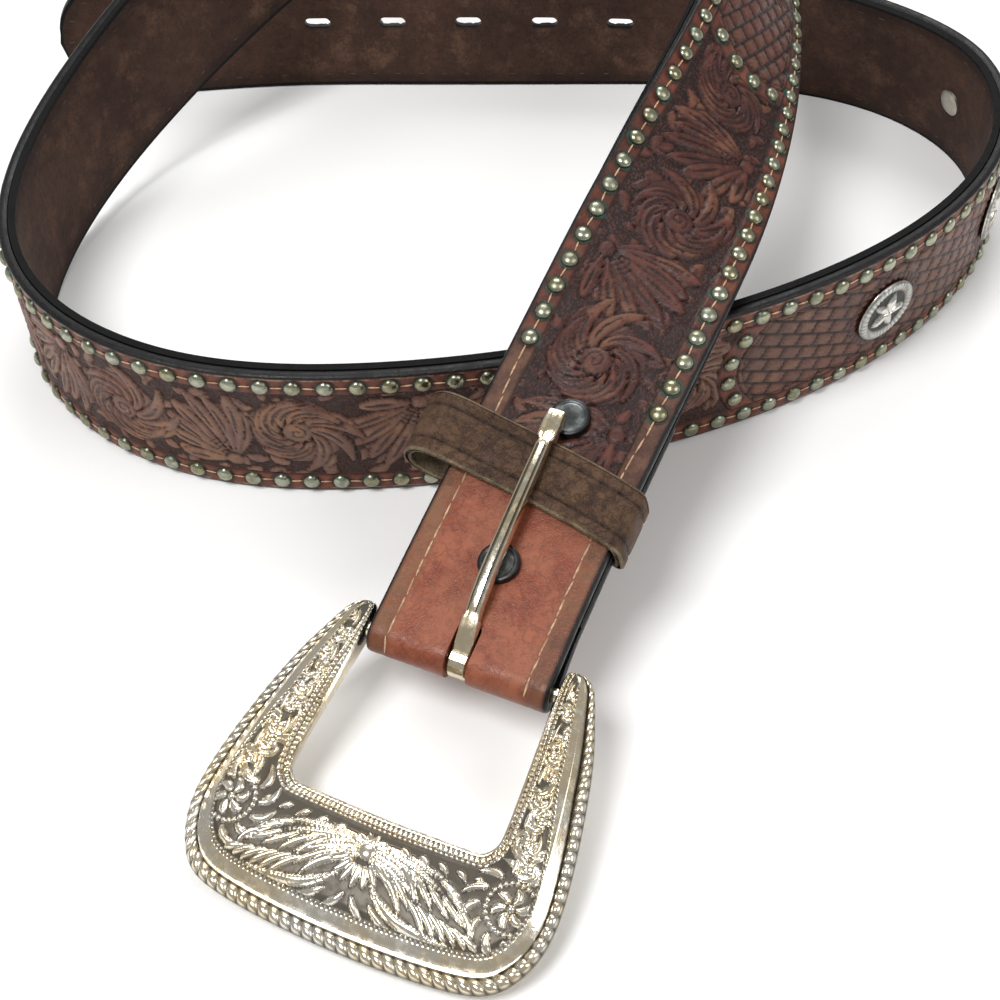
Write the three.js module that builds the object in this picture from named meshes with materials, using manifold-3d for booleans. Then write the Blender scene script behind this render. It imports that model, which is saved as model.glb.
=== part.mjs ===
// Western tooled belt, unfastened, lying in a loop on a flat surface.
// Millimetres, +Z up. The belt starts at its tip, runs on edge round the loop and ends at the buckle.
import * as THREE from "three";
import { mergeVertices } from "three/addons/utils/BufferGeometryUtils.js";
import Module from "manifold-3d";

const wasm = await Module();
wasm.setup();

// Leather
const BELT_WIDTH = 44.5;
const OUTER_THICK = 2.6;
const LINING_THICK = 1.9;
const TAB_THICK = 2.0;
const EDGE_BEVEL = 0.6;
const LAYER_GAP = 0.3;
const FIT_GAP = 0.3;
const CURVED_SEAT_GAP = 0.5;

// The loop as it lies, and its route from the tip to the fold at the buckle
const LOOP_WIDTH = 290;
const LOOP_DEPTH = 204;
const ROUTE_STEP = 12;

// Tip and prong holes
const TIP_ROUND = 25;
const TIP_TO_HOLE = 87;
const HOLE_COUNT = 5;
const HOLE_SPACING = 25.6;
const HOLE_LENGTH = 9;
const HOLE_WIDTH = 4;

// Fold at the bar, with distances counted from the bar back along the belt
const BAR_RADIUS = 1.9;
const TAB_LENGTH = 72;
const TAB_RISE = 14;
const SLOT_WIDTH = 6.6;
const SLOT_LENGTH = 14;
const LINING_STOP = 16;
const SCREW_PLACES = { fold_screw_lower: 22.7, fold_screw_upper: 62 };
const SCREW_HEAD_RADIUS = 4.9;
const SCREW_HEAD_HEIGHT = 1.7;
const SCREW_BACK_HEIGHT = 1.2;
const SCREW_SHANK_RADIUS = 1.7;
const SCREW_BEVEL = 0.5;

// Keeper
const KEEPER_PLACE = 45;
const KEEPER_WIDTH = 16;
const KEEPER_THICK = 2.2;
const KEEPER_BULGE = 12;

// Buckle frame
const FRAME_WIDTH = 85.5;
const FRAME_DEPTH = 68.5;
const OPENING_WIDTH = BELT_WIDTH + 2.6;
const OPENING_DEPTH = 39;
const HORN_RISE = 5.5;
const FRAME_CROWN = 4.3;
const FRAME_BACK = 3.3;
const BACK_SHARE = 0.6;
const FRAME_ARCH = 2;
const BAR_SEAT = 5;

// Prong
const PRONG_LENGTH = 61;
const PRONG_WIDTH = 4.6;
const PRONG_HEIGHT = 3.2;
const PRONG_DRIFT = 0.8;
const RING_RADIUS = 4.1;
const RING_WIDTH = 5;
const RING_BEVEL = 0.5;

// Conchos, with distances counted from the bar back along the belt
const CONCHO_RADIUS = 9.6;
const CONCHO_HEIGHT = 3.2;
const CONCHO_RIM = 1.3;
const CONCHO_POST_RADIUS = 2.4;
const CONCHO_SCREW_RADIUS = 4.3;
const CONCHO_SCREW_HEIGHT = 1.3;
const CONCHO_SPACING = 58;
const CONCHO_ROWS = [239, 909];
const CONCHOS_IN_ROW = 3;

const PLY = OUTER_THICK + LAYER_GAP + LINING_THICK;
const STACK = PLY + LAYER_GAP + TAB_THICK;
const BEND_RADIUS = BAR_RADIUS + FIT_GAP;
const BAR_DEPTH = OUTER_THICK + BEND_RADIUS;
const CUT_REACH = 3 * STACK;

// Stations of the middle of the tooled face. across is a share of LOOP_WIDTH and back of LOOP_DEPTH; lift
// is how high the belt's lowest corner clears the floor, a share of BELT_WIDTH; lean is in degrees,
// 0 where the belt stands on edge and 90 where it lies face up.
const STATIONS = [
  { across: -0.521, back: 0.98, lift: 0, lean: 0 },
  { across: -0.417, back: 0.99, lift: 0, lean: -2 },
  { across: -0.279, back: 1.0, lift: 0, lean: -4 },
  { across: -0.107, back: 0.985, lift: 0, lean: -5 },
  { across: 0.1, back: 0.956, lift: 0, lean: -3 },
  { across: 0.272, back: 0.907, lift: 0, lean: 6 },
  { across: 0.41, back: 0.804, lift: 0, lean: 13 },
  { across: 0.488, back: 0.642, lift: 0, lean: 9 },
  { across: 0.474, back: 0.436, lift: 0, lean: 0 },
  { across: 0.384, back: 0.255, lift: 0, lean: -5 },
  { across: 0.238, back: 0.118, lift: 0, lean: -6 },
  { across: 0.066, back: 0.034, lift: 0, lean: -6 },
  { across: -0.141, back: 0.0, lift: 0, lean: -6 },
  { across: -0.314, back: 0.039, lift: 0, lean: -5 },
  { across: -0.431, back: 0.152, lift: 0, lean: -3 },
  { across: -0.495, back: 0.328, lift: 0, lean: 0 },
  { across: -0.488, back: 0.525, lift: 0.08, lean: 0 },
  { across: -0.421, back: 0.711, lift: 0.33, lean: 0 },
  { across: -0.303, back: 0.87, lift: 0.76, lean: 0 },
  { across: -0.155, back: 1.03, lift: 1.1, lean: 0 },
  { across: 0.031, back: 1.162, lift: 1.13, lean: 4 },
  { across: 0.197, back: 1.083, lift: 1.11, lean: 13 },
  { across: 0.266, back: 0.863, lift: 1.075, lean: 22 },
  { across: 0.251, back: 0.62, lift: 1.04, lean: 32 },
  { across: 0.198, back: 0.39, lift: 1.025, lean: 46 },
  { across: 0.143, back: 0.219, lift: 1.04, lean: 63 },
  { across: 0.094, back: 0.084, lift: 1.045, lean: 78 },
  { across: 0.03, back: -0.083, lift: 0.905, lean: 87 },
  { across: -0.032, back: -0.24, lift: 0.655, lean: 90 },
  { across: -0.075, back: -0.357, lift: 0.46, lean: 90 },
];

// A natural cubic spline through values at knots: its value and slope at u.
function naturalSpline(knots, values) {
  const last = knots.length - 1;
  const bend = new Array(last + 1).fill(0);
  const pivot = new Array(last + 1).fill(0);
  for (let i = 1; i < last; i++) {
    const before = knots[i] - knots[i - 1];
    const after = knots[i + 1] - knots[i];
    const slopes = (values[i + 1] - values[i]) / after - (values[i] - values[i - 1]) / before;
    const weight = 2 * (before + after) - before * pivot[i - 1];
    pivot[i] = after / weight;
    bend[i] = (6 * slopes - before * bend[i - 1]) / weight;
  }
  for (let i = last - 1; i > 0; i--) bend[i] -= pivot[i] * bend[i + 1];
  return (u) => {
    let i = 0;
    while (i < last - 1 && u > knots[i + 1]) i++;
    const span = knots[i + 1] - knots[i];
    const b = (u - knots[i]) / span;
    const a = 1 - b;
    const bow = (a ** 3 - a) * bend[i] + (b ** 3 - b) * bend[i + 1];
    const value = a * values[i] + b * values[i + 1] + (bow * span ** 2) / 6;
    const slope =
      (values[i + 1] - values[i]) / span +
      (((3 * b * b - 1) * bend[i + 1] - (3 * a * a - 1) * bend[i]) * span) / 6;
    return [value, slope];
  };
}

// The route: at a distance from the tip, the point on the tooled face with its three directions.
// along runs to the buckle, up runs across the belt to its upper edge and out stands off the tooled face.
function makeRoute() {
  const rows = STATIONS.map(({ across, back, lift, lean }) => {
    const angle = THREE.MathUtils.degToRad(lean);
    const below = (BELT_WIDTH / 2) * Math.cos(angle) + PLY * Math.max(0, Math.sin(angle));
    return [across * LOOP_WIDTH, back * LOOP_DEPTH, lift * BELT_WIDTH + below, lean];
  });
  const knots = [0];
  for (let i = 1; i < rows.length; i++) {
    const [a, b] = [rows[i - 1], rows[i]];
    knots.push(knots[i - 1] + Math.hypot(b[0] - a[0], b[1] - a[1], b[2] - a[2]));
  }
  const columns = [0, 1, 2, 3].map((c) => naturalSpline(knots, rows.map((row) => row[c])));
  const point = (u) => new THREE.Vector3(...columns.slice(0, 3).map((column) => column(u)[0]));
  const samples = 40 * rows.length;
  const lengths = [0];
  let previous = point(0);
  for (let i = 1; i <= samples; i++) {
    const next = point((knots.at(-1) * i) / samples);
    lengths.push(lengths[i - 1] + next.distanceTo(previous));
    previous = next;
  }
  const frameAt = (distance) => {
    let i = 0;
    while (i < samples - 1 && distance > lengths[i + 1]) i++;
    const share = (distance - lengths[i]) / (lengths[i + 1] - lengths[i]);
    const u = (knots.at(-1) * (i + share)) / samples;
    const along = new THREE.Vector3(...columns.slice(0, 3).map((column) => column(u)[1])).normalize();
    const level = new THREE.Vector3(0, 0, 1).cross(along).normalize();
    const rise = along.clone().cross(level);
    const lean = THREE.MathUtils.degToRad(columns[3](u)[0]);
    const out = level.clone().multiplyScalar(Math.cos(lean)).addScaledVector(rise, Math.sin(lean));
    const up = rise.multiplyScalar(Math.cos(lean)).addScaledVector(level, -Math.sin(lean));
    return { point: point(u), along, up, out };
  };
  return { length: lengths.at(-1), frameAt };
}

const route = makeRoute();
const END = route.frameAt(route.length);

// A point of a frame, from its height across the belt and its distance off the tooled face.
function place(frame, across, off, along = 0) {
  return frame.point
    .clone()
    .addScaledVector(frame.up, across)
    .addScaledVector(frame.out, off)
    .addScaledVector(frame.along, along);
}

// Geometry from points and triangles, with its faces turned outwards.
function closedGeometry(points, triangles) {
  let volume = 0;
  for (const [a, b, c] of triangles) volume += points[a].dot(points[b].clone().cross(points[c]));
  const faces = volume < 0 ? triangles.map(([a, b, c]) => [a, c, b]) : triangles;
  const numbers = points.flatMap((point) => point.toArray());
  const geometry = new THREE.BufferGeometry();
  geometry.setAttribute("position", new THREE.Float32BufferAttribute(numbers, 3));
  geometry.setIndex(faces.flat());
  return geometry;
}

// A body through rings of equally many points, with flat ends or joined into a closed loop. The faces of
// the second half of a ring are split the other way, so that two bodies laid face to face stay apart.
function ringBody(rings, closed = false) {
  const count = rings[0].length;
  const triangles = [];
  const spans = closed ? rings.length : rings.length - 1;
  for (let i = 0; i < spans; i++) {
    const here = i * count;
    const next = ((i + 1) % rings.length) * count;
    for (let k = 0; k < count; k++) {
      const m = (k + 1) % count;
      if (k < count / 2) triangles.push([here + k, here + m, next + m], [here + k, next + m, next + k]);
      else triangles.push([here + k, here + m, next + k], [here + m, next + m, next + k]);
    }
  }
  if (!closed) {
    const end = (rings.length - 1) * count;
    for (let k = 1; k < count - 1; k++) triangles.push([0, k + 1, k], [end, end + k, end + k + 1]);
  }
  return closedGeometry(rings.flat(), triangles);
}

// Solids for cutting
function solidOf(geometry) {
  const bare = new THREE.BufferGeometry();
  bare.setAttribute("position", geometry.getAttribute("position"));
  bare.setIndex(geometry.index);
  const merged = mergeVertices(bare, 1e-4);
  const vertProperties = new Float32Array(merged.attributes.position.array);
  const triVerts = new Uint32Array(merged.index.array);
  return new wasm.Manifold(new wasm.Mesh({ numProp: 3, vertProperties, triVerts }));
}

function geometryOf(solid) {
  const mesh = solid.getMesh();
  const geometry = new THREE.BufferGeometry();
  geometry.setAttribute("position", new THREE.BufferAttribute(new Float32Array(mesh.vertProperties), 3));
  geometry.setIndex(new THREE.BufferAttribute(new Uint32Array(mesh.triVerts), 1));
  return geometry;
}

function cut(geometry, tools) {
  return geometryOf(tools.reduce((solid, tool) => solid.subtract(solidOf(tool)), solidOf(geometry)));
}

function join(...geometries) {
  return geometryOf(geometries.map(solidOf).reduce((all, solid) => all.add(solid)));
}

// Puts a shape modelled with x along, y out and z up into a frame.
function intoFrame(geometry, frame) {
  const turn = new THREE.Matrix4().makeBasis(frame.along, frame.out, frame.up);
  return geometry.applyMatrix4(turn.setPosition(frame.point));
}

// A turned shape whose axis stands out of the tooled face, from a profile of radius and height.
function turned(profile, frame, sides = 16) {
  const points = profile.map(([radius, height]) => new THREE.Vector2(radius, height));
  return intoFrame(new THREE.LatheGeometry(points, sides), frame);
}

// Sections of leather with one face bevelled at its edges: points of [place across, depth under its face].
function bevelledFront(half, thick) {
  const inset = half - Math.min(EDGE_BEVEL, half / 2);
  return [
    [-half, EDGE_BEVEL], [-inset, 0], [0, 0], [inset, 0], [half, EDGE_BEVEL],
    [half, thick], [0, thick], [-half, thick],
  ];
}

function bevelledBack(half, thick) {
  const turned = bevelledFront(half, thick).map(([across, under]) => [-across, thick - under]);
  return [...turned.slice(5), ...turned.slice(0, 5)];
}

// Distances from the tip at which the strap has a section, close together round the tip's end.
function strapPlaces(end) {
  const places = [];
  for (let angle = 8; angle < 90; angle += 12) {
    places.push(TIP_ROUND * (1 - Math.cos(THREE.MathUtils.degToRad(angle))));
  }
  const limit = end - ROUTE_STEP / 4;
  for (let distance = TIP_ROUND; distance < limit; distance += ROUTE_STEP) places.push(distance);
  return [...places, end];
}

function halfWidthAt(distance) {
  const short = Math.max(0, 1 - distance / TIP_ROUND);
  return (BELT_WIDTH / 2) * Math.sqrt(1 - short ** 2);
}

function strapRing(distance, depth, section) {
  const frame = route.frameAt(distance);
  return section(halfWidthAt(distance)).map(([across, under]) => place(frame, across, -depth - under));
}

// The fold: the leather turns half a circle round the bar.
function foldRing(angle) {
  return bevelledFront(BELT_WIDTH / 2, OUTER_THICK).map(([across, under]) => {
    const radius = BEND_RADIUS + OUTER_THICK - under;
    return place(END, across, radius * Math.cos(angle) - BAR_DEPTH, radius * Math.sin(angle));
  });
}

// The tab: thinned leather that runs back under the lining.
function tabRing(back) {
  const rise = THREE.MathUtils.smoothstep(back, 0, TAB_RISE);
  const thick = THREE.MathUtils.lerp(OUTER_THICK, TAB_THICK, rise);
  const depth = THREE.MathUtils.lerp(BAR_DEPTH + BEND_RADIUS + OUTER_THICK, STACK, rise);
  const frame = route.frameAt(route.length - back);
  return bevelledFront(BELT_WIDTH / 2, thick).map(([across, under]) => place(frame, across, under - depth));
}

function pinHole(distance, radius) {
  const profile = [[0, -CUT_REACH], [radius, -CUT_REACH], [radius, CUT_REACH], [0, CUT_REACH]];
  return turned(profile, route.frameAt(distance), 10);
}

// An oblong cutter with round ends, long across or along the belt.
function oblong(length, width, frame, alongShift = 0) {
  const half = (length - width) / 2;
  const outline = new THREE.Shape();
  outline.absarc(half, 0, width / 2, -Math.PI / 2, Math.PI / 2);
  outline.absarc(-half, 0, width / 2, Math.PI / 2, (3 * Math.PI) / 2);
  const settings = { depth: 2 * CUT_REACH, bevelEnabled: false, curveSegments: 3 };
  const cutter = new THREE.ExtrudeGeometry(outline, settings);
  return intoFrame(cutter.translate(alongShift, 0, -CUT_REACH).rotateX(Math.PI / 2), frame);
}

function prongHoles() {
  return Array.from({ length: HOLE_COUNT }, (_, i) =>
    oblong(HOLE_LENGTH, HOLE_WIDTH, route.frameAt(TIP_TO_HOLE + i * HOLE_SPACING)));
}

function conchoPlaces() {
  return CONCHO_ROWS.flatMap((first) =>
    Array.from({ length: CONCHOS_IN_ROW }, (_, i) => route.length - first - i * CONCHO_SPACING));
}

function pinHoles() {
  const screws = Object.values(SCREW_PLACES).map((back) =>
    pinHole(route.length - back, SCREW_SHANK_RADIUS + FIT_GAP));
  return [...screws, ...conchoPlaces().map((distance) => pinHole(distance, CONCHO_POST_RADIUS + FIT_GAP))];
}

function outerStrap() {
  const places = strapPlaces(route.length);
  const section = (half) => bevelledFront(half, OUTER_THICK);
  const rings = places.map((distance) => strapRing(distance, 0, section));
  const turns = 8;
  for (let i = 1; i < turns; i++) rings.push(foldRing((Math.PI * i) / turns));
  for (let i = 0; i < 4; i++) rings.push(tabRing((TAB_RISE * i) / 4));
  const backs = places.map((distance) => route.length - distance).reverse();
  const shared = backs.filter((back) => back > TAB_RISE && back < TAB_LENGTH);
  for (const back of [...shared, TAB_LENGTH]) rings.push(tabRing(back));
  const slot = oblong(4 * SLOT_LENGTH, SLOT_WIDTH, END, SLOT_LENGTH);
  return cut(ringBody(rings), [slot, ...prongHoles(), ...pinHoles()]);
}

function liningStrap() {
  const depth = OUTER_THICK + LAYER_GAP;
  const end = route.length - LINING_STOP;
  const places = [...strapPlaces(route.length).filter((distance) => distance < end - 1), end];
  const section = (half) => bevelledBack(half, LINING_THICK);
  const rings = places.map((distance) => strapRing(distance, depth, section));
  return cut(ringBody(rings), [...prongHoles(), ...pinHoles()]);
}

// The keeper's middle line round strap and tab: close on one side, standing open on the other.
function keeperLine() {
  const off = KEEPER_THICK / 2 + FIT_GAP;
  const corner = KEEPER_THICK / 2 + FIT_GAP;
  const near = -BELT_WIDTH / 2 - off;
  const far = BELT_WIDTH / 2 + KEEPER_BULGE;
  const edge = BELT_WIDTH / 2;
  const [top, bottom, middle] = [off, -STACK - off, -STACK / 2];
  const line = [];
  for (const [side, turnStart] of [[bottom + corner, 3 * Math.PI / 2], [top - corner, Math.PI]]) {
    for (let i = 0; i <= 4; i++) {
      const angle = turnStart - (Math.PI / 2) * (i / 4);
      line.push([near + corner + corner * Math.cos(angle), side + corner * Math.sin(angle)]);
    }
  }
  const bulge = new THREE.CatmullRomCurve3(
    [
      [-edge * 0.2, top],
      [edge * 0.55, top + KEEPER_THICK * 0.1],
      [edge * 0.95, top + KEEPER_THICK * 0.7],
      [edge + KEEPER_BULGE * 0.55, top + KEEPER_THICK * 0.8],
      [far - KEEPER_BULGE * 0.1, middle + KEEPER_THICK * 1.3],
      [far - KEEPER_BULGE * 0.05, middle - KEEPER_THICK * 1.3],
      [edge + KEEPER_BULGE * 0.5, bottom - KEEPER_THICK * 0.8],
      [edge * 0.95, bottom - KEEPER_THICK * 0.5],
      [edge * 0.5, bottom],
      [-edge * 0.2, bottom],
    ].map(([across, off]) => new THREE.Vector3(across, off, 0)),
    false,
    "centripetal",
  );
  return [...line, ...bulge.getPoints(30).map((p) => [p.x, p.y])];
}

function keeperLoop() {
  const line = keeperLine();
  const rings = line.map(([across, off], i) => {
    const before = line.at(i - 1);
    const after = line[(i + 1) % line.length];
    const tangent = new THREE.Vector2(after[0] - before[0], after[1] - before[1]).normalize();
    const corners = [[-1, -1], [1, -1], [1, 1], [-1, 1]];
    return corners.map(([outward, along]) => {
      const shift = (outward * KEEPER_THICK) / 2;
      const frame = route.frameAt(route.length - KEEPER_PLACE + (along * KEEPER_WIDTH) / 2);
      return place(frame, across - tangent.y * shift, off + tangent.x * shift);
    });
  });
  return ringBody(rings, true);
}

function foldScrew(distance) {
  const head = FIT_GAP + SCREW_HEAD_HEIGHT;
  const back = -STACK - FIT_GAP;
  return turned(
    [
      [0, back - SCREW_BACK_HEIGHT],
      [SCREW_HEAD_RADIUS - SCREW_BEVEL, back - SCREW_BACK_HEIGHT],
      [SCREW_HEAD_RADIUS, back - SCREW_BEVEL],
      [SCREW_HEAD_RADIUS, back],
      [SCREW_SHANK_RADIUS, back],
      [SCREW_SHANK_RADIUS, FIT_GAP],
      [SCREW_HEAD_RADIUS, FIT_GAP],
      [SCREW_HEAD_RADIUS, head - SCREW_BEVEL],
      [SCREW_HEAD_RADIUS - 2 * SCREW_BEVEL, head],
      [0, head],
    ],
    route.frameAt(distance),
  );
}

// A concho: a disc with a raised rim, a sunk ring and a low dome, on a post through the outer leather.
function concho(distance) {
  const seat = CURVED_SEAT_GAP;
  const post = -OUTER_THICK + LAYER_GAP;
  return turned(
    [
      [0, post],
      [CONCHO_POST_RADIUS, post],
      [CONCHO_POST_RADIUS, seat],
      [CONCHO_RADIUS * 0.97, seat],
      [CONCHO_RADIUS, seat + CONCHO_RIM * 0.5],
      [CONCHO_RADIUS * 0.93, seat + CONCHO_RIM],
      [CONCHO_RADIUS * 0.8, seat + CONCHO_RIM * 1.1],
      [CONCHO_RADIUS * 0.73, seat + CONCHO_RIM * 0.8],
      [CONCHO_RADIUS * 0.45, seat + CONCHO_HEIGHT * 0.85],
      [0, seat + CONCHO_HEIGHT],
    ],
    route.frameAt(distance),
  );
}

function conchoScrew(distance) {
  const seat = -PLY - CURVED_SEAT_GAP;
  return turned(
    [
      [0, seat - CONCHO_SCREW_HEIGHT],
      [CONCHO_SCREW_RADIUS * 0.8, seat - CONCHO_SCREW_HEIGHT * 0.8],
      [CONCHO_SCREW_RADIUS, seat - CONCHO_SCREW_HEIGHT * 0.3],
      [CONCHO_SCREW_RADIUS, seat],
      [CONCHO_POST_RADIUS, seat],
      [CONCHO_POST_RADIUS, -OUTER_THICK],
      [0, -OUTER_THICK],
    ],
    route.frameAt(distance),
    12,
  );
}

// The buckle's frame of directions: its origin is the bar's middle, along runs to the outer rim,
// up runs along the bar and out stands off the engraved face. It leans until its rim nears the floor.
function buckleFrame() {
  const middle = place(END, 0, -BAR_DEPTH);
  const heading = new THREE.Vector3(0, 0, 1).cross(END.up).normalize();
  const rim = new THREE.Vector2(FRAME_DEPTH, FRAME_BACK * BACK_SHARE + FRAME_ARCH);
  const drop = Math.asin((middle.z - FIT_GAP) / rim.length()) - Math.atan2(rim.y, rim.x);
  const along = heading.multiplyScalar(Math.cos(drop)).add(new THREE.Vector3(0, 0, -Math.sin(drop)));
  const out = END.up.clone().cross(along).normalize();
  return { point: middle, along, up: END.up, out };
}

// Half of the frame from the horn's end to the middle of the outer rim. inner and outer are points on its
// two edges, [share of the half width, share of the depth]; edge and crown are heights of the inner border
// and the dome as shares of FRAME_CROWN, back is the depth behind the bar as a share of FRAME_BACK.
const FRAME_ROWS = [
  { inner: [1.03, -1.0], outer: [0.645, -1.05], edge: 0.4, crown: 0.4, back: 0.5 },
  { inner: [1.005, -0.7], outer: [0.71, -0.62], edge: 0.68, crown: 0.68, back: 0.9 },
  { inner: [1.0, 0.06], outer: [0.78, 0.05], edge: 0.75, crown: 0.8, back: 1.0 },
  { inner: [1.02, 0.3], outer: [0.86, 0.19], edge: 0.55, crown: 0.92, back: 0.8 },
  { inner: [1.045, 0.57], outer: [0.94, 0.4], edge: 0.4, crown: 1.0, back: BACK_SHARE },
  { inner: [1.065, 0.82], outer: [0.995, 0.62], edge: 0.38, crown: 1.0, back: BACK_SHARE },
  { inner: [1.045, 0.93], outer: [0.98, 0.79], edge: 0.38, crown: 1.0, back: BACK_SHARE },
  { inner: [0.97, 0.985], outer: [0.87, 0.915], edge: 0.38, crown: 1.0, back: BACK_SHARE },
  { inner: [0.83, 1.0], outer: [0.68, 0.97], edge: 0.38, crown: 1.0, back: BACK_SHARE },
  { inner: [0.45, 1.005], outer: [0.35, 0.993], edge: 0.38, crown: 1.0, back: BACK_SHARE },
  { inner: [0, 1.01], outer: [0, 1.0], edge: 0.38, crown: 1.0, back: BACK_SHARE },
];

// The frame's section: shares of the way from the inner to the outer edge with heights; the last stretch
// is the rolled rim.
const FACE_SECTION = [
  { way: 0, rise: "edge", share: 0.75 },
  { way: 0.06, rise: "edge", share: 1 },
  { way: 0.14, rise: "crown", share: 0.72 },
  { way: 0.4, rise: "crown", share: 1 },
  { way: 0.68, rise: "crown", share: 0.86 },
  { way: 0.83, rise: "crown", share: 0.4 },
  { way: 0.86, rise: "crown", share: 0.34 },
  { way: 0.9, rise: "crown", share: 0.6 },
  { way: 0.96, rise: "crown", share: 0.56 },
  { way: 1, rise: "crown", share: 0.2 },
];

function frameRings() {
  const half = FRAME_ROWS.map(({ inner, outer, edge, crown, back }) => {
    const depthOf = (share, depth) => (share < 0 ? share * HORN_RISE : share * depth);
    return [
      inner[0] * (OPENING_WIDTH / 2), depthOf(inner[1], OPENING_DEPTH),
      outer[0] * (FRAME_WIDTH / 2), depthOf(outer[1], FRAME_DEPTH),
      edge * FRAME_CROWN, crown * FRAME_CROWN, back * FRAME_BACK,
    ];
  });
  const mirrored = half.slice(0, -1).reverse().map(([x, v, ox, ...rest]) => [-x, v, -ox, ...rest]);
  const rows = [...half, ...mirrored];
  const parts = 2;
  const columns = half[0].map((_, c) => naturalSpline(rows.map((_, i) => i), rows.map((row) => row[c])));
  const rings = [];
  for (let i = 0; i <= (rows.length - 1) * parts; i++) {
    const [x, v, ox, ov, edge, crown, back] = columns.map((column) => column(i / parts)[0]);
    const heights = { edge, crown };
    const point = (way, height) => {
      const down = v + (ov - v) * way;
      const arch = FRAME_ARCH * (Math.max(down, 0) / FRAME_DEPTH) ** 2;
      return new THREE.Vector3(down, height - arch, x + (ox - x) * way);
    };
    const face = FACE_SECTION.map(({ way, rise, share }) => point(way, heights[rise] * share));
    rings.push([...face, point(0.97, -back), point(0.04, -back)]);
  }
  return rings;
}

function barRod(slack) {
  const radius = BAR_RADIUS + slack;
  const length = OPENING_WIDTH + 2 * (BAR_SEAT + slack);
  return new THREE.CylinderGeometry(radius, radius, length, 16).rotateX(Math.PI / 2);
}

function buckleFrameBody(frame) {
  return intoFrame(cut(ringBody(frameRings()), [barRod(FIT_GAP)]), frame);
}

function buckleBar(frame) {
  return intoFrame(barRod(0), frame);
}

// The prong's shaft from its ring to its tip: reach is a share of its length, rise a share of the height at
// which it lies over the keeper, wide and high are half its section as shares of its width and height.
const PRONG_ROWS = [
  { reach: 0.015, rise: 0.31, wide: 0.5, high: 0.42 },
  { reach: 0.08, rise: 0.45, wide: 0.48, high: 0.5 },
  { reach: 0.13, rise: 0.69, wide: 0.46, high: 0.5 },
  { reach: 0.2, rise: 0.86, wide: 0.46, high: 0.47 },
  { reach: 0.38, rise: 0.95, wide: 0.46, high: 0.47 },
  { reach: 0.62, rise: 0.99, wide: 0.46, high: 0.47 },
  { reach: 0.84, rise: 1.0, wide: 0.46, high: 0.47 },
  { reach: 0.86, rise: 1.0, wide: 0.4, high: 0.42 },
  { reach: 0.88, rise: 1.0, wide: 0.52, high: 0.5 },
  { reach: 1, rise: 0.99, wide: 0.5, high: 0.5 },
];

function prongRing() {
  const clear = BAR_RADIUS + FIT_GAP;
  const half = RING_WIDTH / 2;
  const profile = [
    [clear, -half],
    [RING_RADIUS - RING_BEVEL, -half],
    [RING_RADIUS, RING_BEVEL - half],
    [RING_RADIUS, half - RING_BEVEL],
    [RING_RADIUS - RING_BEVEL, half],
    [clear, half],
    [clear, -half],
  ];
  return new THREE.LatheGeometry(profile.map(([r, h]) => new THREE.Vector2(r, h)), 16).rotateX(Math.PI / 2);
}

function prong() {
  const bar = place(END, 0, -BAR_DEPTH);
  const seat = place(route.frameAt(route.length - KEEPER_PLACE), 0, KEEPER_THICK + 2 * FIT_GAP);
  const rest = seat.sub(bar).dot(END.out) + PRONG_HEIGHT / 2;
  const corners = [[-1, -0.4], [-0.6, -1], [0.6, -1], [1, -0.4], [1, 0.4], [0.6, 1], [-0.6, 1], [-1, 0.4]];
  const rings = PRONG_ROWS.map(({ reach, rise, wide, high }) =>
    corners.map(([side, over]) => new THREE.Vector3(
      -reach * PRONG_LENGTH,
      rise * rest + over * high * PRONG_HEIGHT,
      side * wide * PRONG_WIDTH + reach * PRONG_DRIFT,
    )));
  return intoFrame(join(prongRing(), ringBody(rings)), { ...END, point: bar });
}

const FINISHES = {
  tooled_leather: { color: 0x4a2318, roughness: 0.55, metalness: 0 },
  lining_leather: { color: 0x2a1912, roughness: 0.8, metalness: 0 },
  keeper_leather: { color: 0x6b4630, roughness: 0.75, metalness: 0 },
  plated_metal: { color: 0xd8cfb4, roughness: 0.25, metalness: 1 },
  black_metal: { color: 0x1b1c1e, roughness: 0.35, metalness: 0.8 },
  silver_metal: { color: 0xb9bab8, roughness: 0.35, metalness: 1 },
};

const belt = new THREE.Group();

function add(name, geometry, finish) {
  const mesh = new THREE.Mesh(geometry, new THREE.MeshStandardMaterial(FINISHES[finish]));
  mesh.name = name;
  belt.add(mesh);
}

const buckle = buckleFrame();
add("outer_strap", outerStrap(), "tooled_leather");
add("lining_strap", liningStrap(), "lining_leather");
add("keeper_loop", keeperLoop(), "keeper_leather");
add("buckle_frame", buckleFrameBody(buckle), "plated_metal");
add("buckle_bar", buckleBar(buckle), "plated_metal");
add("prong", prong(), "plated_metal");
for (const [name, back] of Object.entries(SCREW_PLACES)) {
  add(name, foldScrew(route.length - back), "black_metal");
}
conchoPlaces().forEach((distance, i) => {
  add("concho_" + (i + 1), concho(distance), "silver_metal");
  add("concho_screw_" + (i + 1), conchoScrew(distance), "silver_metal");
});

// The origin is the middle of the belt's box, on the surface it lies on.
const box = new THREE.Box3().setFromObject(belt, true);
const middle = box.getCenter(new THREE.Vector3());
belt.position.set(-middle.x, -middle.y, -box.min.z);

const part = new THREE.Group();
part.add(belt);

export default part;
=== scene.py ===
# Western tooled belt: carved leather, studs, stitching, conchos and an engraved buckle around
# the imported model. Lengths are in millimetres until a piece is laid in place, and distances
# along the leather start at the tip.
import math

import bmesh
import bpy
import numpy as np
from mathutils import Matrix, Vector


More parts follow.
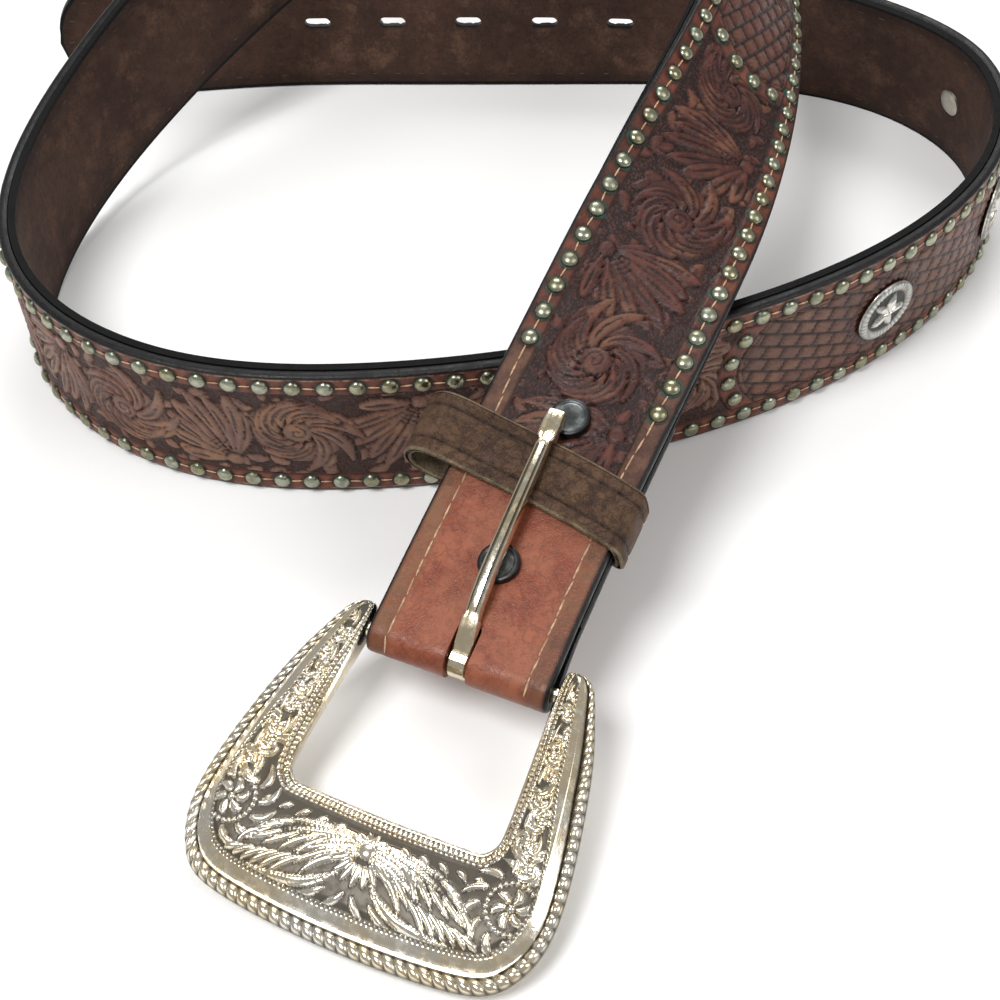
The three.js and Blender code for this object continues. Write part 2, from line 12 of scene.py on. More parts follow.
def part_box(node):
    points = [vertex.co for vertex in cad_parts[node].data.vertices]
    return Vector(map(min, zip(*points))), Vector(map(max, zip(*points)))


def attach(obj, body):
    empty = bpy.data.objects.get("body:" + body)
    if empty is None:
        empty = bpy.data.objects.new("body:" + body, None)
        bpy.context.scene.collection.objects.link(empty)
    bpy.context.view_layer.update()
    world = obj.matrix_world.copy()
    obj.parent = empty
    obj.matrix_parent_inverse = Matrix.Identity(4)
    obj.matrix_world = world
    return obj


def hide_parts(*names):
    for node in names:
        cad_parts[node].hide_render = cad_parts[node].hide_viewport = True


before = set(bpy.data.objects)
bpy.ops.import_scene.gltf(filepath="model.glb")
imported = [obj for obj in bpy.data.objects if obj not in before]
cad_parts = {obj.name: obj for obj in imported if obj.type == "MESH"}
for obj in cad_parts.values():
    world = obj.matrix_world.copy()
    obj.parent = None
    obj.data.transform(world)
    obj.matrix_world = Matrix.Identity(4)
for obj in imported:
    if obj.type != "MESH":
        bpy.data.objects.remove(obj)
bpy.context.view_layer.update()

MM = 0.001
TOUCH = 1e-4

# Leather
BELT_WIDTH = 44.5
HALF = BELT_WIDTH / 2
OUTER_THICK = 2.6
LINING_THICK = 1.9
TAB_THICK = 2.0
LAYER_GAP = 0.3
FIT_GAP = 0.3
PLY = OUTER_THICK + LAYER_GAP + LINING_THICK
STACK = PLY + LAYER_GAP + TAB_THICK
LOOP_WIDTH = 290
LOOP_DEPTH = 204
TIP_ROUND = 25
HOLES = [87 + 25.6 * i for i in range(5)]
HOLE_LENGTH = 9
HOLE_WIDTH = 4
BAR_RADIUS = 1.9
FOLD_RADIUS = OUTER_THICK + BAR_RADIUS + FIT_GAP
FOLD_LENGTH = math.pi * FOLD_RADIUS
TAB_LENGTH = 72
TAB_RISE = 14
# The slot is shown shorter and narrower than the solid's, which leaves room for the prong to move
SLOT_WIDTH = 5.7
SLOT_LENGTH = 8.5
SLOT_UNDER = 5.2
LINING_STOP = 16
SCREWS = {"lower": 22.7, "upper": 62}
SCREW_HEAD = 4.9
SCREW_SHANK = 1.7
SCREW_HOLE = 2.0
CONCHO_ROWS = (239, 909)
CONCHO_SPACING = 58
CONCHO_RADIUS = 9.6
CONCHO_POST = 2.4
CONCHO_BACK = 4.3

# Keeper, buckle and prong
KEEPER_PLACE = 45
KEEPER_WIDTH = 16
KEEPER_THICK = 2.2
KEEPER_BULGE = 12
KEEPER_CREASE = 3.6
FRAME_WIDTH = 85.5
FRAME_DEPTH = 68.5
OPENING_WIDTH = BELT_WIDTH + 2.6
OPENING_DEPTH = 39
HORN_RISE = 5.5
FRAME_CROWN = 4.3
FRAME_BACK = 3.3
BACK_SHARE = 0.6
FRAME_ARCH = 2
PRONG_LENGTH = 61
PRONG_WIDTH = 4.6
PRONG_HEIGHT = 3.2
PRONG_DRIFT = 0.8
RING_RADIUS = 4.1
RING_WIDTH = 5
GROOVE_FLOOR = 0.62
GROOVE_FILL = 0.3

# The belt's route: shares of the loop's width and depth, lift as a share of the belt's width, lean
STATIONS = [
    (-0.521, 0.98, 0, 0), (-0.417, 0.99, 0, -2), (-0.279, 1.0, 0, -4), (-0.107, 0.985, 0, -5),
    (0.1, 0.956, 0, -3), (0.272, 0.907, 0, 6), (0.41, 0.804, 0, 13), (0.488, 0.642, 0, 9),
    (0.474, 0.436, 0, 0), (0.384, 0.255, 0, -5), (0.238, 0.118, 0, -6), (0.066, 0.034, 0, -6),
    (-0.141, 0.0, 0, -6), (-0.314, 0.039, 0, -5), (-0.431, 0.152, 0, -3), (-0.495, 0.328, 0, 0),
    (-0.488, 0.525, 0.08, 0), (-0.421, 0.711, 0.33, 0), (-0.303, 0.87, 0.76, 0), (-0.155, 1.03, 1.1,
                                                                                  0),
    (0.031, 1.162, 1.13, 4), (0.197, 1.083, 1.11, 13), (0.266, 0.863, 1.075, 22), (0.251, 0.62,
                                                                                   1.04, 32),
    (0.198, 0.39, 1.025, 46), (0.143, 0.219, 1.04, 63), (0.094, 0.084, 1.045, 78), (0.03, -0.083,
                                                                                    0.905, 87),
    (-0.032, -0.24, 0.655, 90), (-0.075, -0.357, 0.46, 90),
]


def natural_spline(knots, values):
    """A natural cubic spline: a function that gives its values and slopes at an array of places."""
    knots, values = np.asarray(knots, float), np.asarray(values, float)
    last, span = len(knots) - 1, np.diff(knots)
    system, turn = np.eye(last + 1), np.zeros(last + 1)
    for i in range(1, last):
        system[i, i - 1:i + 2] = span[i - 1], 2 * (span[i - 1] + span[i]), span[i]
        ahead, behind = values[i + 1] - values[i], values[i] - values[i - 1]
        turn[i] = 6 * (ahead / span[i] - behind / span[i - 1])
    bend = np.linalg.solve(system, turn)

    def at(places):
        places = np.asarray(places, float)
        i = np.clip(np.searchsorted(knots, places) - 1, 0, last - 1)
        b = (places - knots[i]) / span[i]
        a = 1 - b
        bow = (a**3 - a) * bend[i] + (b**3 - b) * bend[i + 1]
        value = a * values[i] + b * values[i + 1] + bow * span[i] ** 2 / 6
        curl = (3 * b * b - 1) * bend[i + 1] - (3 * a * a - 1) * bend[i]
        return value, (values[i + 1] - values[i]) / span[i] + curl * span[i] / 6

    return at


def unit(vectors):
    return vectors / np.linalg.norm(vectors, axis=-1, keepdims=True)


def lengths_along(points):
    return np.concatenate([[0], np.cumsum(np.linalg.norm(np.diff(points, axis=0), axis=1))])


def smoothstep(values, low, high):
    share = np.clip((values - low) / (high - low), 0, 1)
    return share * share * (3 - 2 * share)


# Route of the tooled face's middle line
lean_angles = np.radians([row[3] for row in STATIONS])
station_points = np.array([
    (across * LOOP_WIDTH, back * LOOP_DEPTH,
     lift * BELT_WIDTH + HALF * math.cos(lean) + PLY * max(0, math.sin(lean)))
    for (across, back, lift, _), lean in zip(STATIONS, lean_angles)
])
route_knots = lengths_along(station_points)
route_splines = [natural_spline(route_knots, column) for column in station_points.T]
lean_spline = natural_spline(route_knots, [row[3] for row in STATIONS])
route_samples = np.linspace(0, route_knots[-1], 40 * len(STATIONS) + 1)
sample_points = np.stack([spline(route_samples)[0] for spline in route_splines], axis=1)
route_lengths = lengths_along(sample_points)
ROUTE_LENGTH = route_lengths[-1]


def frames_at(distance):
    """Points of the route with the directions along the belt, up across it and out of its face."""
    places = np.interp(distance, route_lengths, route_samples)
    values = [spline(places) for spline in route_splines]
    point = np.stack([value for value, _ in values], axis=-1)
    along = unit(np.stack([slope for _, slope in values], axis=-1))
    level = unit(np.cross([0.0, 0.0, 1.0], along))
    rise = np.cross(along, level)
    lean = np.radians(lean_spline(places)[0])[..., None]
    out = level * np.cos(lean) + rise * np.sin(lean)
    return point, along, rise * np.cos(lean) - level * np.sin(lean), out


end_point, end_along, end_up, end_out = frames_at(np.array(ROUTE_LENGTH))
bar_middle = end_point - end_out * FOLD_RADIUS
ORIGIN = np.array(sum(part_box("buckle_bar"), Vector()) / 2) / MM - bar_middle


def metres(points):
    return (points + ORIGIN) * MM


def lay_belt(distance, across, depth):
    """Places in metres on the outer leather, depth under its tooled face, folded round the bar."""
    run = np.minimum(distance, ROUTE_LENGTH)
    back = np.maximum(distance - ROUTE_LENGTH - FOLD_LENGTH, 0)
    point, along, up, out = frames_at(np.where(back > 0, ROUTE_LENGTH - back, run))
    rise = smoothstep(back, 0, TAB_RISE)
    folded = depth * (OUTER_THICK + (TAB_THICK - OUTER_THICK) * rise) / OUTER_THICK
    face = 2 * FOLD_RADIUS + (STACK - 2 * FOLD_RADIUS) * rise
    turn = np.clip((distance - ROUTE_LENGTH) / FOLD_RADIUS, 0, math.pi)
    radius = FOLD_RADIUS - depth
    off = np.where(back > 0, folded - face, radius * np.cos(turn) - FOLD_RADIUS)
    ahead = np.where(back > 0, 0, radius * np.sin(turn))
    return metres(point + up * across[..., None] + out * off[..., None] + along * ahead[..., None])


def seat(distance, across, off):
    """A matrix for a piece in millimetres with z out of the tooled face and x along the belt."""
    point, along, up, out = frames_at(np.array(float(distance)))
    spot = metres(point + up * across + out * off)
    turned = Matrix([[along[i], -up[i], out[i], 0] for i in range(3)] + [[0, 0, 0, 1]])
    return Matrix.Translation(Vector(spot)) @ turned @ Matrix.Scale(MM, 4)


def half_width(distance):
    short = np.clip(1 - np.asarray(distance) / TIP_ROUND, 0, 1)
    return HALF * np.sqrt(np.clip(1 - short**2, 0, 1))


# ---- modelling helpers


def only(piece):
    bpy.ops.object.select_all(action="DESELECT")
    piece.select_set(True)
    bpy.context.view_layer.objects.active = piece


def added(name, operator, **options):
    bpy.ops.object.select_all(action="DESELECT")
    operator(**options)
    piece = bpy.context.object
    piece.name = piece.data.name = name
    return piece


def edit(piece):
    only(piece)
    bpy.ops.object.mode_set(mode="EDIT")
    bpy.ops.mesh.select_mode(type="VERT")
    bpy.ops.mesh.select_all(action="DESELECT")


def pick(piece, test):
    """Selects the vertices that pass a test, in edit mode."""
    shape = bmesh.from_edit_mesh(piece.data)
    for vertex in shape.verts:
        vertex.select_set(bool(test(vertex)))
    shape.select_flush_mode()
    bmesh.update_edit_mesh(piece.data)


def done():
    bpy.ops.object.mode_set(mode="OBJECT")


def coordinates(piece):
    values = np.empty(len(piece.data.vertices) * 3)
    piece.data.vertices.foreach_get("co", values)
    return values.reshape(-1, 3)


def reshape(piece, points):
    piece.data.vertices.foreach_set("co", np.ascontiguousarray(points, float).ravel())
    piece.data.update()


def apply_modifier(piece, kind, **settings):
    only(piece)
    modifier = piece.modifiers.new(kind.lower(), kind)
    for name, value in settings.items():
        setattr(modifier, name, value)
    bpy.ops.object.modifier_apply(modifier=modifier.name)


def face_outwards(piece):
    edit(piece)
    bpy.ops.mesh.select_all(action="SELECT")
    bpy.ops.mesh.normals_make_consistent(inside=False)
    done()


def merge_close(piece):
    edit(piece)
    bpy.ops.mesh.select_all(action="SELECT")
    bpy.ops.mesh.remove_doubles(threshold=1e-6)
    done()


def smooth(piece, degrees):
    only(piece)
    bpy.ops.object.shade_smooth_by_angle(angle=math.radians(degrees))


def fix(piece):
    only(piece)
    bpy.ops.object.transform_apply(location=True, rotation=True, scale=True)


def joined(name, pieces):
    only(pieces[0])
    for piece in pieces:
        piece.select_set(True)
    bpy.ops.object.join()
    pieces[0].name = pieces[0].data.name = name
    return pieces[0]


def copied(piece, matrix):
    twin = piece.copy()
    twin.data = piece.data.copy()
    bpy.context.scene.collection.objects.link(twin)
    twin.data.transform(matrix)
    return twin


def mark(piece, name, values):
    layer = piece.data.attributes.new(name, "FLOAT", "POINT")
    layer.data.foreach_set("value", np.ascontiguousarray(values, np.float32))


def skin(name, rows, ring=False, angle=40, tones=None):
    """A closed skin through rows of points; each row closes on itself, and a ring of rows too."""
    rows = np.asarray(rows, float)
    if ring:
        rows = np.concatenate([rows, rows[:1]])
    rows = np.concatenate([rows, rows[:, :1]], axis=1)
    count, sides = rows.shape[:2]
    piece = added(name, bpy.ops.mesh.primitive_grid_add, x_subdivisions=sides - 1,
                  y_subdivisions=count - 1, size=2)
    flat = coordinates(piece)
    column = np.rint((flat[:, 0] + 1) / 2 * (sides - 1)).astype(int)
    row = np.rint((flat[:, 1] + 1) / 2 * (count - 1)).astype(int)
    reshape(piece, rows[row, column])
    for tone, values in (tones or {}).items():
        mark(piece, tone, values[row % len(values), column % values.shape[1]])
    edit(piece)
    bpy.ops.mesh.select_all(action="SELECT")
    bpy.ops.mesh.remove_doubles(threshold=2e-6)
    if not ring:
        bpy.ops.mesh.select_all(action="DESELECT")
        bpy.ops.mesh.select_non_manifold(extend=False)
        bpy.ops.mesh.fill_holes(sides=0)
    bpy.ops.mesh.select_all(action="SELECT")
    bpy.ops.mesh.normals_make_consistent(inside=False)
    done()
    smooth(piece, angle)
    return piece


def turned(name, profile, sides):
    """A turned piece about z through points of radius and height, in millimetres."""
    turns = np.linspace(0, 2 * math.pi, sides, endpoint=False)
    return skin(name, [[(r * math.cos(a), r * math.sin(a), h) for a in turns] for r, h in profile])


# ---- leather blanks


def leather_blank(name, start, end, step, columns, thick):
    """A flat strip of leather along x, face up at z 0, its far side one strip of faces."""
    cells = max(1, round((end - start) / step))
    piece = added(name, bpy.ops.mesh.primitive_grid_add, x_subdivisions=cells,
                  y_subdivisions=columns, size=1,
                  location=((start + end) / 2, 0, 0))
    piece.scale = (end - start, BELT_WIDTH, 1)
    fix(piece)
    edit(piece)
    pick(piece, lambda v: abs(v.co.y) > HALF - TOUCH)
    for drop in (0.3, 0.4, 0.3):
        bpy.ops.mesh.extrude_region_move(TRANSFORM_OT_translate={"value": (0, 0, -drop * thick)})
    bpy.ops.mesh.bridge_edge_loops()
    for place in (start, end):
        bpy.ops.mesh.select_all(action="DESELECT")
        pick(piece, lambda v: abs(v.co.x - place) < TOUCH)
        bpy.ops.mesh.edge_face_add()
    done()
    face_outwards(piece)
    return piece


def punch(piece, tools):
    """Cuts the tools out of a flat piece of leather, all at once."""
    cutter = joined("punch", tools)
    apply_modifier(piece, "BOOLEAN", object=cutter, operation="DIFFERENCE", solver="EXACT")
    bpy.data.objects.remove(cutter)


def oblong_punch(middle, length, width, across):
    """A round-ended punch; across says that its length runs across the belt."""
    tool = added("punch", bpy.ops.mesh.primitive_cylinder_add, vertices=32, radius=width / 2,
                 depth=12)
    edit(tool)
    pick(tool, lambda v: (v.co.y if across else v.co.x) > 0.01)
    stretch = length - width
    bpy.ops.transform.translate(value=(0, stretch, 0) if across else (stretch, 0, 0))
    done()
    tool.location = (middle, -stretch / 2, 0) if across else (middle - stretch / 2, 0, 0)
    fix(tool)
    return tool


def round_punch(middle, radius):
    return added("punch", bpy.ops.mesh.primitive_cylinder_add, vertices=28, radius=radius, depth=12,
                 location=(middle, 0, 0))


CONCHOS = [ROUTE_LENGTH - first - CONCHO_SPACING * i for first in CONCHO_ROWS for i in range(3)]
TAB_START = ROUTE_LENGTH + FOLD_LENGTH


def outer_punches(start, end):
    """Tools for the prong holes, the pins and the slot that fall in one stretch of the leather."""
    tools = [oblong_punch(place, HOLE_LENGTH, HOLE_WIDTH,
                          False) for place in HOLES if start < place < end]
    tools += [round_punch(place, CONCHO_POST + FIT_GAP) for place in CONCHOS if start < place < end]
    if end > ROUTE_LENGTH:
        middle = ROUTE_LENGTH + (FOLD_LENGTH + SLOT_UNDER - SLOT_LENGTH) / 2
        tools.append(oblong_punch(middle, SLOT_LENGTH + SLOT_UNDER + FOLD_LENGTH, SLOT_WIDTH,
                                  False))
        for back in SCREWS.values():
            tools += [round_punch(middle, SCREW_HOLE)
                      for middle in (ROUTE_LENGTH - back, TAB_START + back)]
    return tools


# ---- carving


class Carving:
    """Heights and tones of a face, laid mark after mark, later marks over earlier ones."""

    def __init__(self, x, y, height, floor):
        self.order = np.argsort(x, kind="stable")
        self.x, self.y, self.height = x[self.order], y[self.order], height[self.order].astype(float)
        self.ground = np.zeros(len(x))
        self.cut = np.zeros(len(x))
        self.rub_and_sheen = np.zeros(len(x))
        self.floor = floor

    def near(self, spine, reach):
        low, high = spine.min(axis=0) - reach, spine.max(axis=0) + reach
        first, last = np.searchsorted(self.x, (low[0], high[0]))
        y = self.y[first:last]
        return first + np.flatnonzero((y > low[1]) & (y < high[1]))

    def measure(self, spine, spots):
        """For each spot its nearest step of the spine and how far off it lies."""
        dx = self.x[spots][:, None] - spine[:, 0]
        dy = self.y[spots][:, None] - spine[:, 1]
        square = dx * dx + dy * dy
        step = square.argmin(axis=1)
        return step, np.sqrt(square[np.arange(len(spots)), step])

    def leaf(self, spine, widths, rise, crown, press, bevel):
        """A raised shape round a spine, with the leather pressed down outside it."""
        spots = self.near(spine, widths.max() + bevel)
        if not len(spots):
            return
        step, off = self.measure(spine, spots)
        half = np.maximum(widths[step], 1e-3)
        inside = off < half
        outside = ~inside & (off < half + bevel) & (half > 0.25)
        spot = spots[outside]
        fade = 1 - (off[outside] - half[outside]) / bevel
        self.height[spot] = np.maximum(self.height[spot] - press * fade ** 1.4, self.floor)
        self.cut[spot] = np.maximum(self.cut[spot], 0.9 * smoothstep(fade, 0.72, 1.0))
        self.rub_and_sheen[spot] *= 1 - 0.7 * fade
        spot, share = spots[inside], off[inside] / half[inside]
        height = rise + crown * (1 - share ** 2.4)
        self.height[spot] = height
        self.ground[spot] = self.cut[spot] = 0
        # The raised shape lightens towards its crown: wear on the tops, and a painted highlight there
        # too.
        self.rub_and_sheen[spot] = 0.35 + 0.65 * smoothstep(height, rise, rise + crown)

    def score(self, spine, widths, depth):
        """A cut along a spine."""
        spots = self.near(spine, widths.max() + 0.1)
        if not len(spots):
            return
        step, off = self.measure(spine, spots)
        half = np.maximum(widths[step], 1e-3)
        inside = off < half
        spot, share = spots[inside], off[inside] / half[inside]
        self.height[spot] -= depth * (1 - share * share)
        self.cut[spot] = np.maximum(self.cut[spot], 1 - share ** 3)
        self.rub_and_sheen[spot] *= share ** 2

    def ball(self, centre, radius, rise, crown, press, bevel=1.0):
        """A round raised shape."""
        spine = np.array([centre, (centre[0] + 1e-3, centre[1])], float)
        self.leaf(spine, np.full(2, radius), rise, crown, press, bevel)

    def back(self, values):
        """The values in the order that the points came in."""
        given = np.empty(len(values))
        given[self.order] = values
        return given


def polar(centre, radius, angle):
    return centre[0] + radius * math.cos(angle), centre[1] + radius * math.sin(angle)


def spiral(centre, radii, angles, flip=1, steps=0):
    """Points from one radius and angle to another round a centre, 0.45 mm apart unless counted."""
    turned_by = abs(angles[1] - angles[0])
    steps = steps or max(8, int(turned_by / 360 * 2 * math.pi * max(radii) / 0.45))
    share = np.linspace(0, 1, steps)
    radius = radii[0] + (radii[1] - radii[0]) * share
    angle = np.radians(angles[0] + (angles[1] - angles[0]) * share)
    return np.stack([centre[0] + radius * np.cos(angle), centre[1] + flip * radius * np.sin(angle)],
                    axis=1)


def sweep_line(start, bend, end, steps=26):
    """Points along a curve from start to end that is drawn towards bend."""
    share = np.linspace(0, 1, steps)[:, None]
    start, bend, end = (np.asarray(p, float) for p in (start, bend, end))
    return (1 - share) ** 2 * start + 2 * share * (1 - share) * bend + share ** 2 * end


def taper(count, width, early=0.7, blunt=0.65):
    """Half widths that swell and run out again; early moves the widest place towards the start."""
    share = np.linspace(0, 1, count) ** early
    return width * np.sin(math.pi * np.clip(share, 0, 1)) ** blunt


def swirl(carving, centre, reach, flip, start, lobes=11, plume=0.5, width=1.75, crown=0.42,
          press=0.5, bevel=1.0, score=0.3):
    """Curved lobes round a bud, long ones flaring out on one side and close ones opposite."""
    for i in range(lobes):
        away = 360 * i / lobes
        flare = max(0.0, math.cos(math.radians(away - 50)))
        sweep = 118 - 52 * flare
        share = np.linspace(0, 1, 30)
        radius = reach * (0.24 + (0.7 + plume * flare) * share ** (0.75 + 0.5 * flare))
        angle = np.radians(start + away + sweep * share)
        spine = np.stack([centre[0] + radius * np.cos(angle),
                          centre[1] + flip * radius * np.sin(angle)], axis=1)
        wide = width * (0.82 + 0.3 * flare)
        carving.leaf(spine, taper(30, wide, 1.15, 0.55), -0.6 * crown, crown, press, bevel)
        if score:
            inner = spine[6:24]
            carving.score(inner, taper(len(inner), 0.5, 0.8), score)
    carving.ball(centre, reach * 0.3, -0.5 * crown, 0.8 * crown, press, bevel * 0.8)


def scroll(carving, centre, reach, flip, start):
    """A carved scroll: a raised disc, the swirl of lobes on it and seed cuts round its bud."""
    carving.ball(centre, reach * 0.97, -0.35, 0.2, 0.5, 1.6)
    swirl(carving, centre, reach, flip, start)
    for i in range(3):
        first, radius = start + 120 * i, reach * 0.36
        seed = spiral(centre, (radius, radius - 0.3), (first, first + 80), flip)
        carving.score(seed, taper(len(seed), 0.42, 0.55, 0.8), 0.4)
    bud = spiral(centre, (reach * 0.2, reach * 0.05), (start, start + 400), flip)
    carving.score(bud, np.full(len(bud), 0.3), 0.3)


def filler_leaves(carving, low, high, draw):
    """Small curved leaves, laid first, that show in the corners between the main scrolls."""
    for x in np.arange(low + 3, high, 5.2):
        for y in (-13, -7.5, -2, 3.5, 9, 14):
            x0, y0 = x + draw.uniform(-1.6, 1.6), y + draw.uniform(-1.6, 1.6)
            turn, curl = draw.uniform(0, 360), draw.choice((-1, 1)) * draw.uniform(60, 110)
            spine = spiral((x0, y0), (4.2, 3.0), (turn, turn + curl), steps=18)
            carving.leaf(spine, taper(18, draw.uniform(1.2, 1.7), 0.8), -0.42, 0.34, 0.35, 0.8)


def leaf_spray(carving, centre, flip, draw):
    """Long smooth lobes that fan from a collar with ladder ticks, between two scrolls."""
    x, y = centre
    root = np.array([x - 6.5, y - 11.5 * flip])
    ends = ((-11, 8, -13, -1), (-7, 13.5, -11, 3), (-1.5, 12.5, -7.5, 3), (3.5, 13.5, -2, 4),
            (8, 9, 2.5, 1),
            (10.5, 3.5, 4, -2.5), (12.5, -3, 4.5, -7), (9, -11, 2, -12))
    for ex, ey, bx, by in ends:
        tip = (x + ex + draw.uniform(-0.8, 0.8), y + flip * (ey + draw.uniform(-0.6, 0.6)))
        spine = sweep_line(root, (x + bx, y + flip * by), tip, 34)
        widths = taper(len(spine), draw.uniform(1.9, 2.5), 1.5, 0.6)
        carving.leaf(spine, widths, -0.28, 0.42, 0.5, 1.2)
        inner = spine[13:30]
        carving.score(inner, taper(len(inner), 0.55, 0.8), 0.34)
    for i in range(5):
        spot = root + np.array([1.3, 2.4 * flip]) * (0.8 + 0.55 * i)
        across = np.array([-1.5, 0.9 * flip])
        rung = sweep_line(spot - across, spot + np.array([0.5, 0.5 * flip]), spot + across, 10)
        carving.score(rung, np.full(len(rung), 0.3), 0.35)
    carving.ball(root, 2.2, -0.25, 0.3, 0.4)


# Tooling: woven panels between stretches of carving, inside a plain border with studs
PANELS = ((ROUTE_LENGTH - 407, ROUTE_LENGTH - 187), (258, 478))
PANEL_BOW = 9
PANEL_EDGE = 2.9
PLAIN_START = ROUTE_LENGTH - 50
BORDER = 6.55
STUD_INSET = 3.9
STUD_PITCH = 7.94
STUD_RADIUS = 2.3
STUD_DOME = 0.62
STUDS_STOP_LOWER = 71
STUDS_STOP_UPPER = 79
CARVED_GROUND = -0.55
DEEPEST = -0.72
SCROLL_PITCH = 24.5
SCROLL_REACH = 12.4
WEAVE_SLANT = 24
WEAVE_LENGTH = 6.4
WEAVE_HEIGHT = 4.3
CORD_INNER, CORD_MIDDLE, CORD_OUTER = 9.2, 10.8, 12.2
STITCH_PITCH = 4.9


def edge_gap(x, y):
    """How far a place is from the cut edge of the strap."""
    ahead = np.maximum(TIP_ROUND - x, 0) / TIP_ROUND
    return np.where(x < TIP_ROUND, (1 - np.hypot(ahead, y / HALF)) * HALF, HALF - np.abs(y))


def panel_gap(x, y):
    """How far inside the nearest woven panel's stud line a place is, negative outside."""
    bow = PANEL_BOW * (y / (HALF - STUD_INSET)) ** 2
    slope = np.sqrt(1 + (2 * PANEL_BOW * y / (HALF - STUD_INSET) ** 2) ** 2)
    gaps = [np.minimum(x - low - bow, high - bow - x) / slope for low, high in PANELS]
    return np.maximum(*gaps)


def edge_row():
    """Places of the edge studs, from the buckle's end of the lower edge round the tip and back."""
    reach, wide = TIP_ROUND - STUD_INSET, HALF - STUD_INSET
    angles = np.linspace(-math.pi / 2, math.pi / 2, 200)
    path = [(ROUTE_LENGTH - STUDS_STOP_LOWER, -wide)]
    path += [(TIP_ROUND - reach * math.cos(a), wide * math.sin(a)) for a in angles]
    path.append((ROUTE_LENGTH - STUDS_STOP_UPPER, wide))
    path = np.array(path)
    run = lengths_along(path)
    count = round(run[-1] / STUD_PITCH)
    even = np.linspace(0, run[-1], count + 1)
    return np.stack([np.interp(even, run, column) for column in path.T], axis=1)


def panel_rows():
    """Studs that cross the belt on the bowed ends of the woven panels."""
    rows = []
    for low, high in PANELS:
        for across in (-11.2, -3.8, 3.8, 11.2):
            bow = PANEL_BOW * (across / (HALF - STUD_INSET)) ** 2
            rows += [(low + bow, across), (high - bow, across)]
    return np.array(rows)


def woven(x, y):
    """Slanted staggered stamps of a basketweave: height and darkness."""
    slant = math.radians(WEAVE_SLANT)
    a = (x * math.cos(slant) + y * math.sin(slant)) / WEAVE_LENGTH
    b = (y * math.cos(slant) - x * math.sin(slant)) / WEAVE_HEIGHT
    row = np.floor(b)
    a = a + 0.5 * (row % 2)
    p, q = (a - np.floor(a)) * 2 - 1, (b - row) * 2 - 1
    pad = (1 - np.abs(p) ** 5) * (1 - np.abs(q) ** 3)
    bars = 0.09 * np.cos(q * 3 * math.pi) * (np.abs(p) > 0.45)
    height = 0.62 * pad + bars - 0.58
    return height, np.maximum(1 - smoothstep(pad, 0.12, 0.7), 0.35 * (bars < -0.05))


def carve(x, y, carved):
    """Height, ground, cuts and worn tops with a painted highlight of the carving: scrolls and sprays in
    turn, over leaves.
    """
    carving = Carving(x, y, np.where(carved, CARVED_GROUND, 0.0), DEEPEST)
    carving.ground[:] = carved[carving.order]
    draw = np.random.default_rng(7)
    (late, last), (early, next_early) = PANELS
    for low, high in ((6, early), (next_early, late), (last, PLAIN_START + 6)):
        units = max(1, round((high - low) / SCROLL_PITCH))
        length = (high - low) / units
        filler_leaves(carving, low, high, draw)
        for i in range(1, units, 2):
            leaf_spray(carving, (low + (i + 0.5) * length, 0), 1 if i % 4 < 2 else -1, draw)
        for i in range(0, units, 2):
            flip = 1 if i % 4 < 2 else -1
            centre = (low + (i + 0.5) * length + draw.uniform(-1, 1), 1.2 * flip)
            reach = SCROLL_REACH + draw.uniform(-0.5, 0.5)
            scroll(carving, centre, reach, flip, draw.uniform(-30, 30) + 60)
    layers = (carving.height, carving.ground, carving.cut, carving.rub_and_sheen)
    return [np.where(carved, carving.back(layer), 0) for layer in layers]


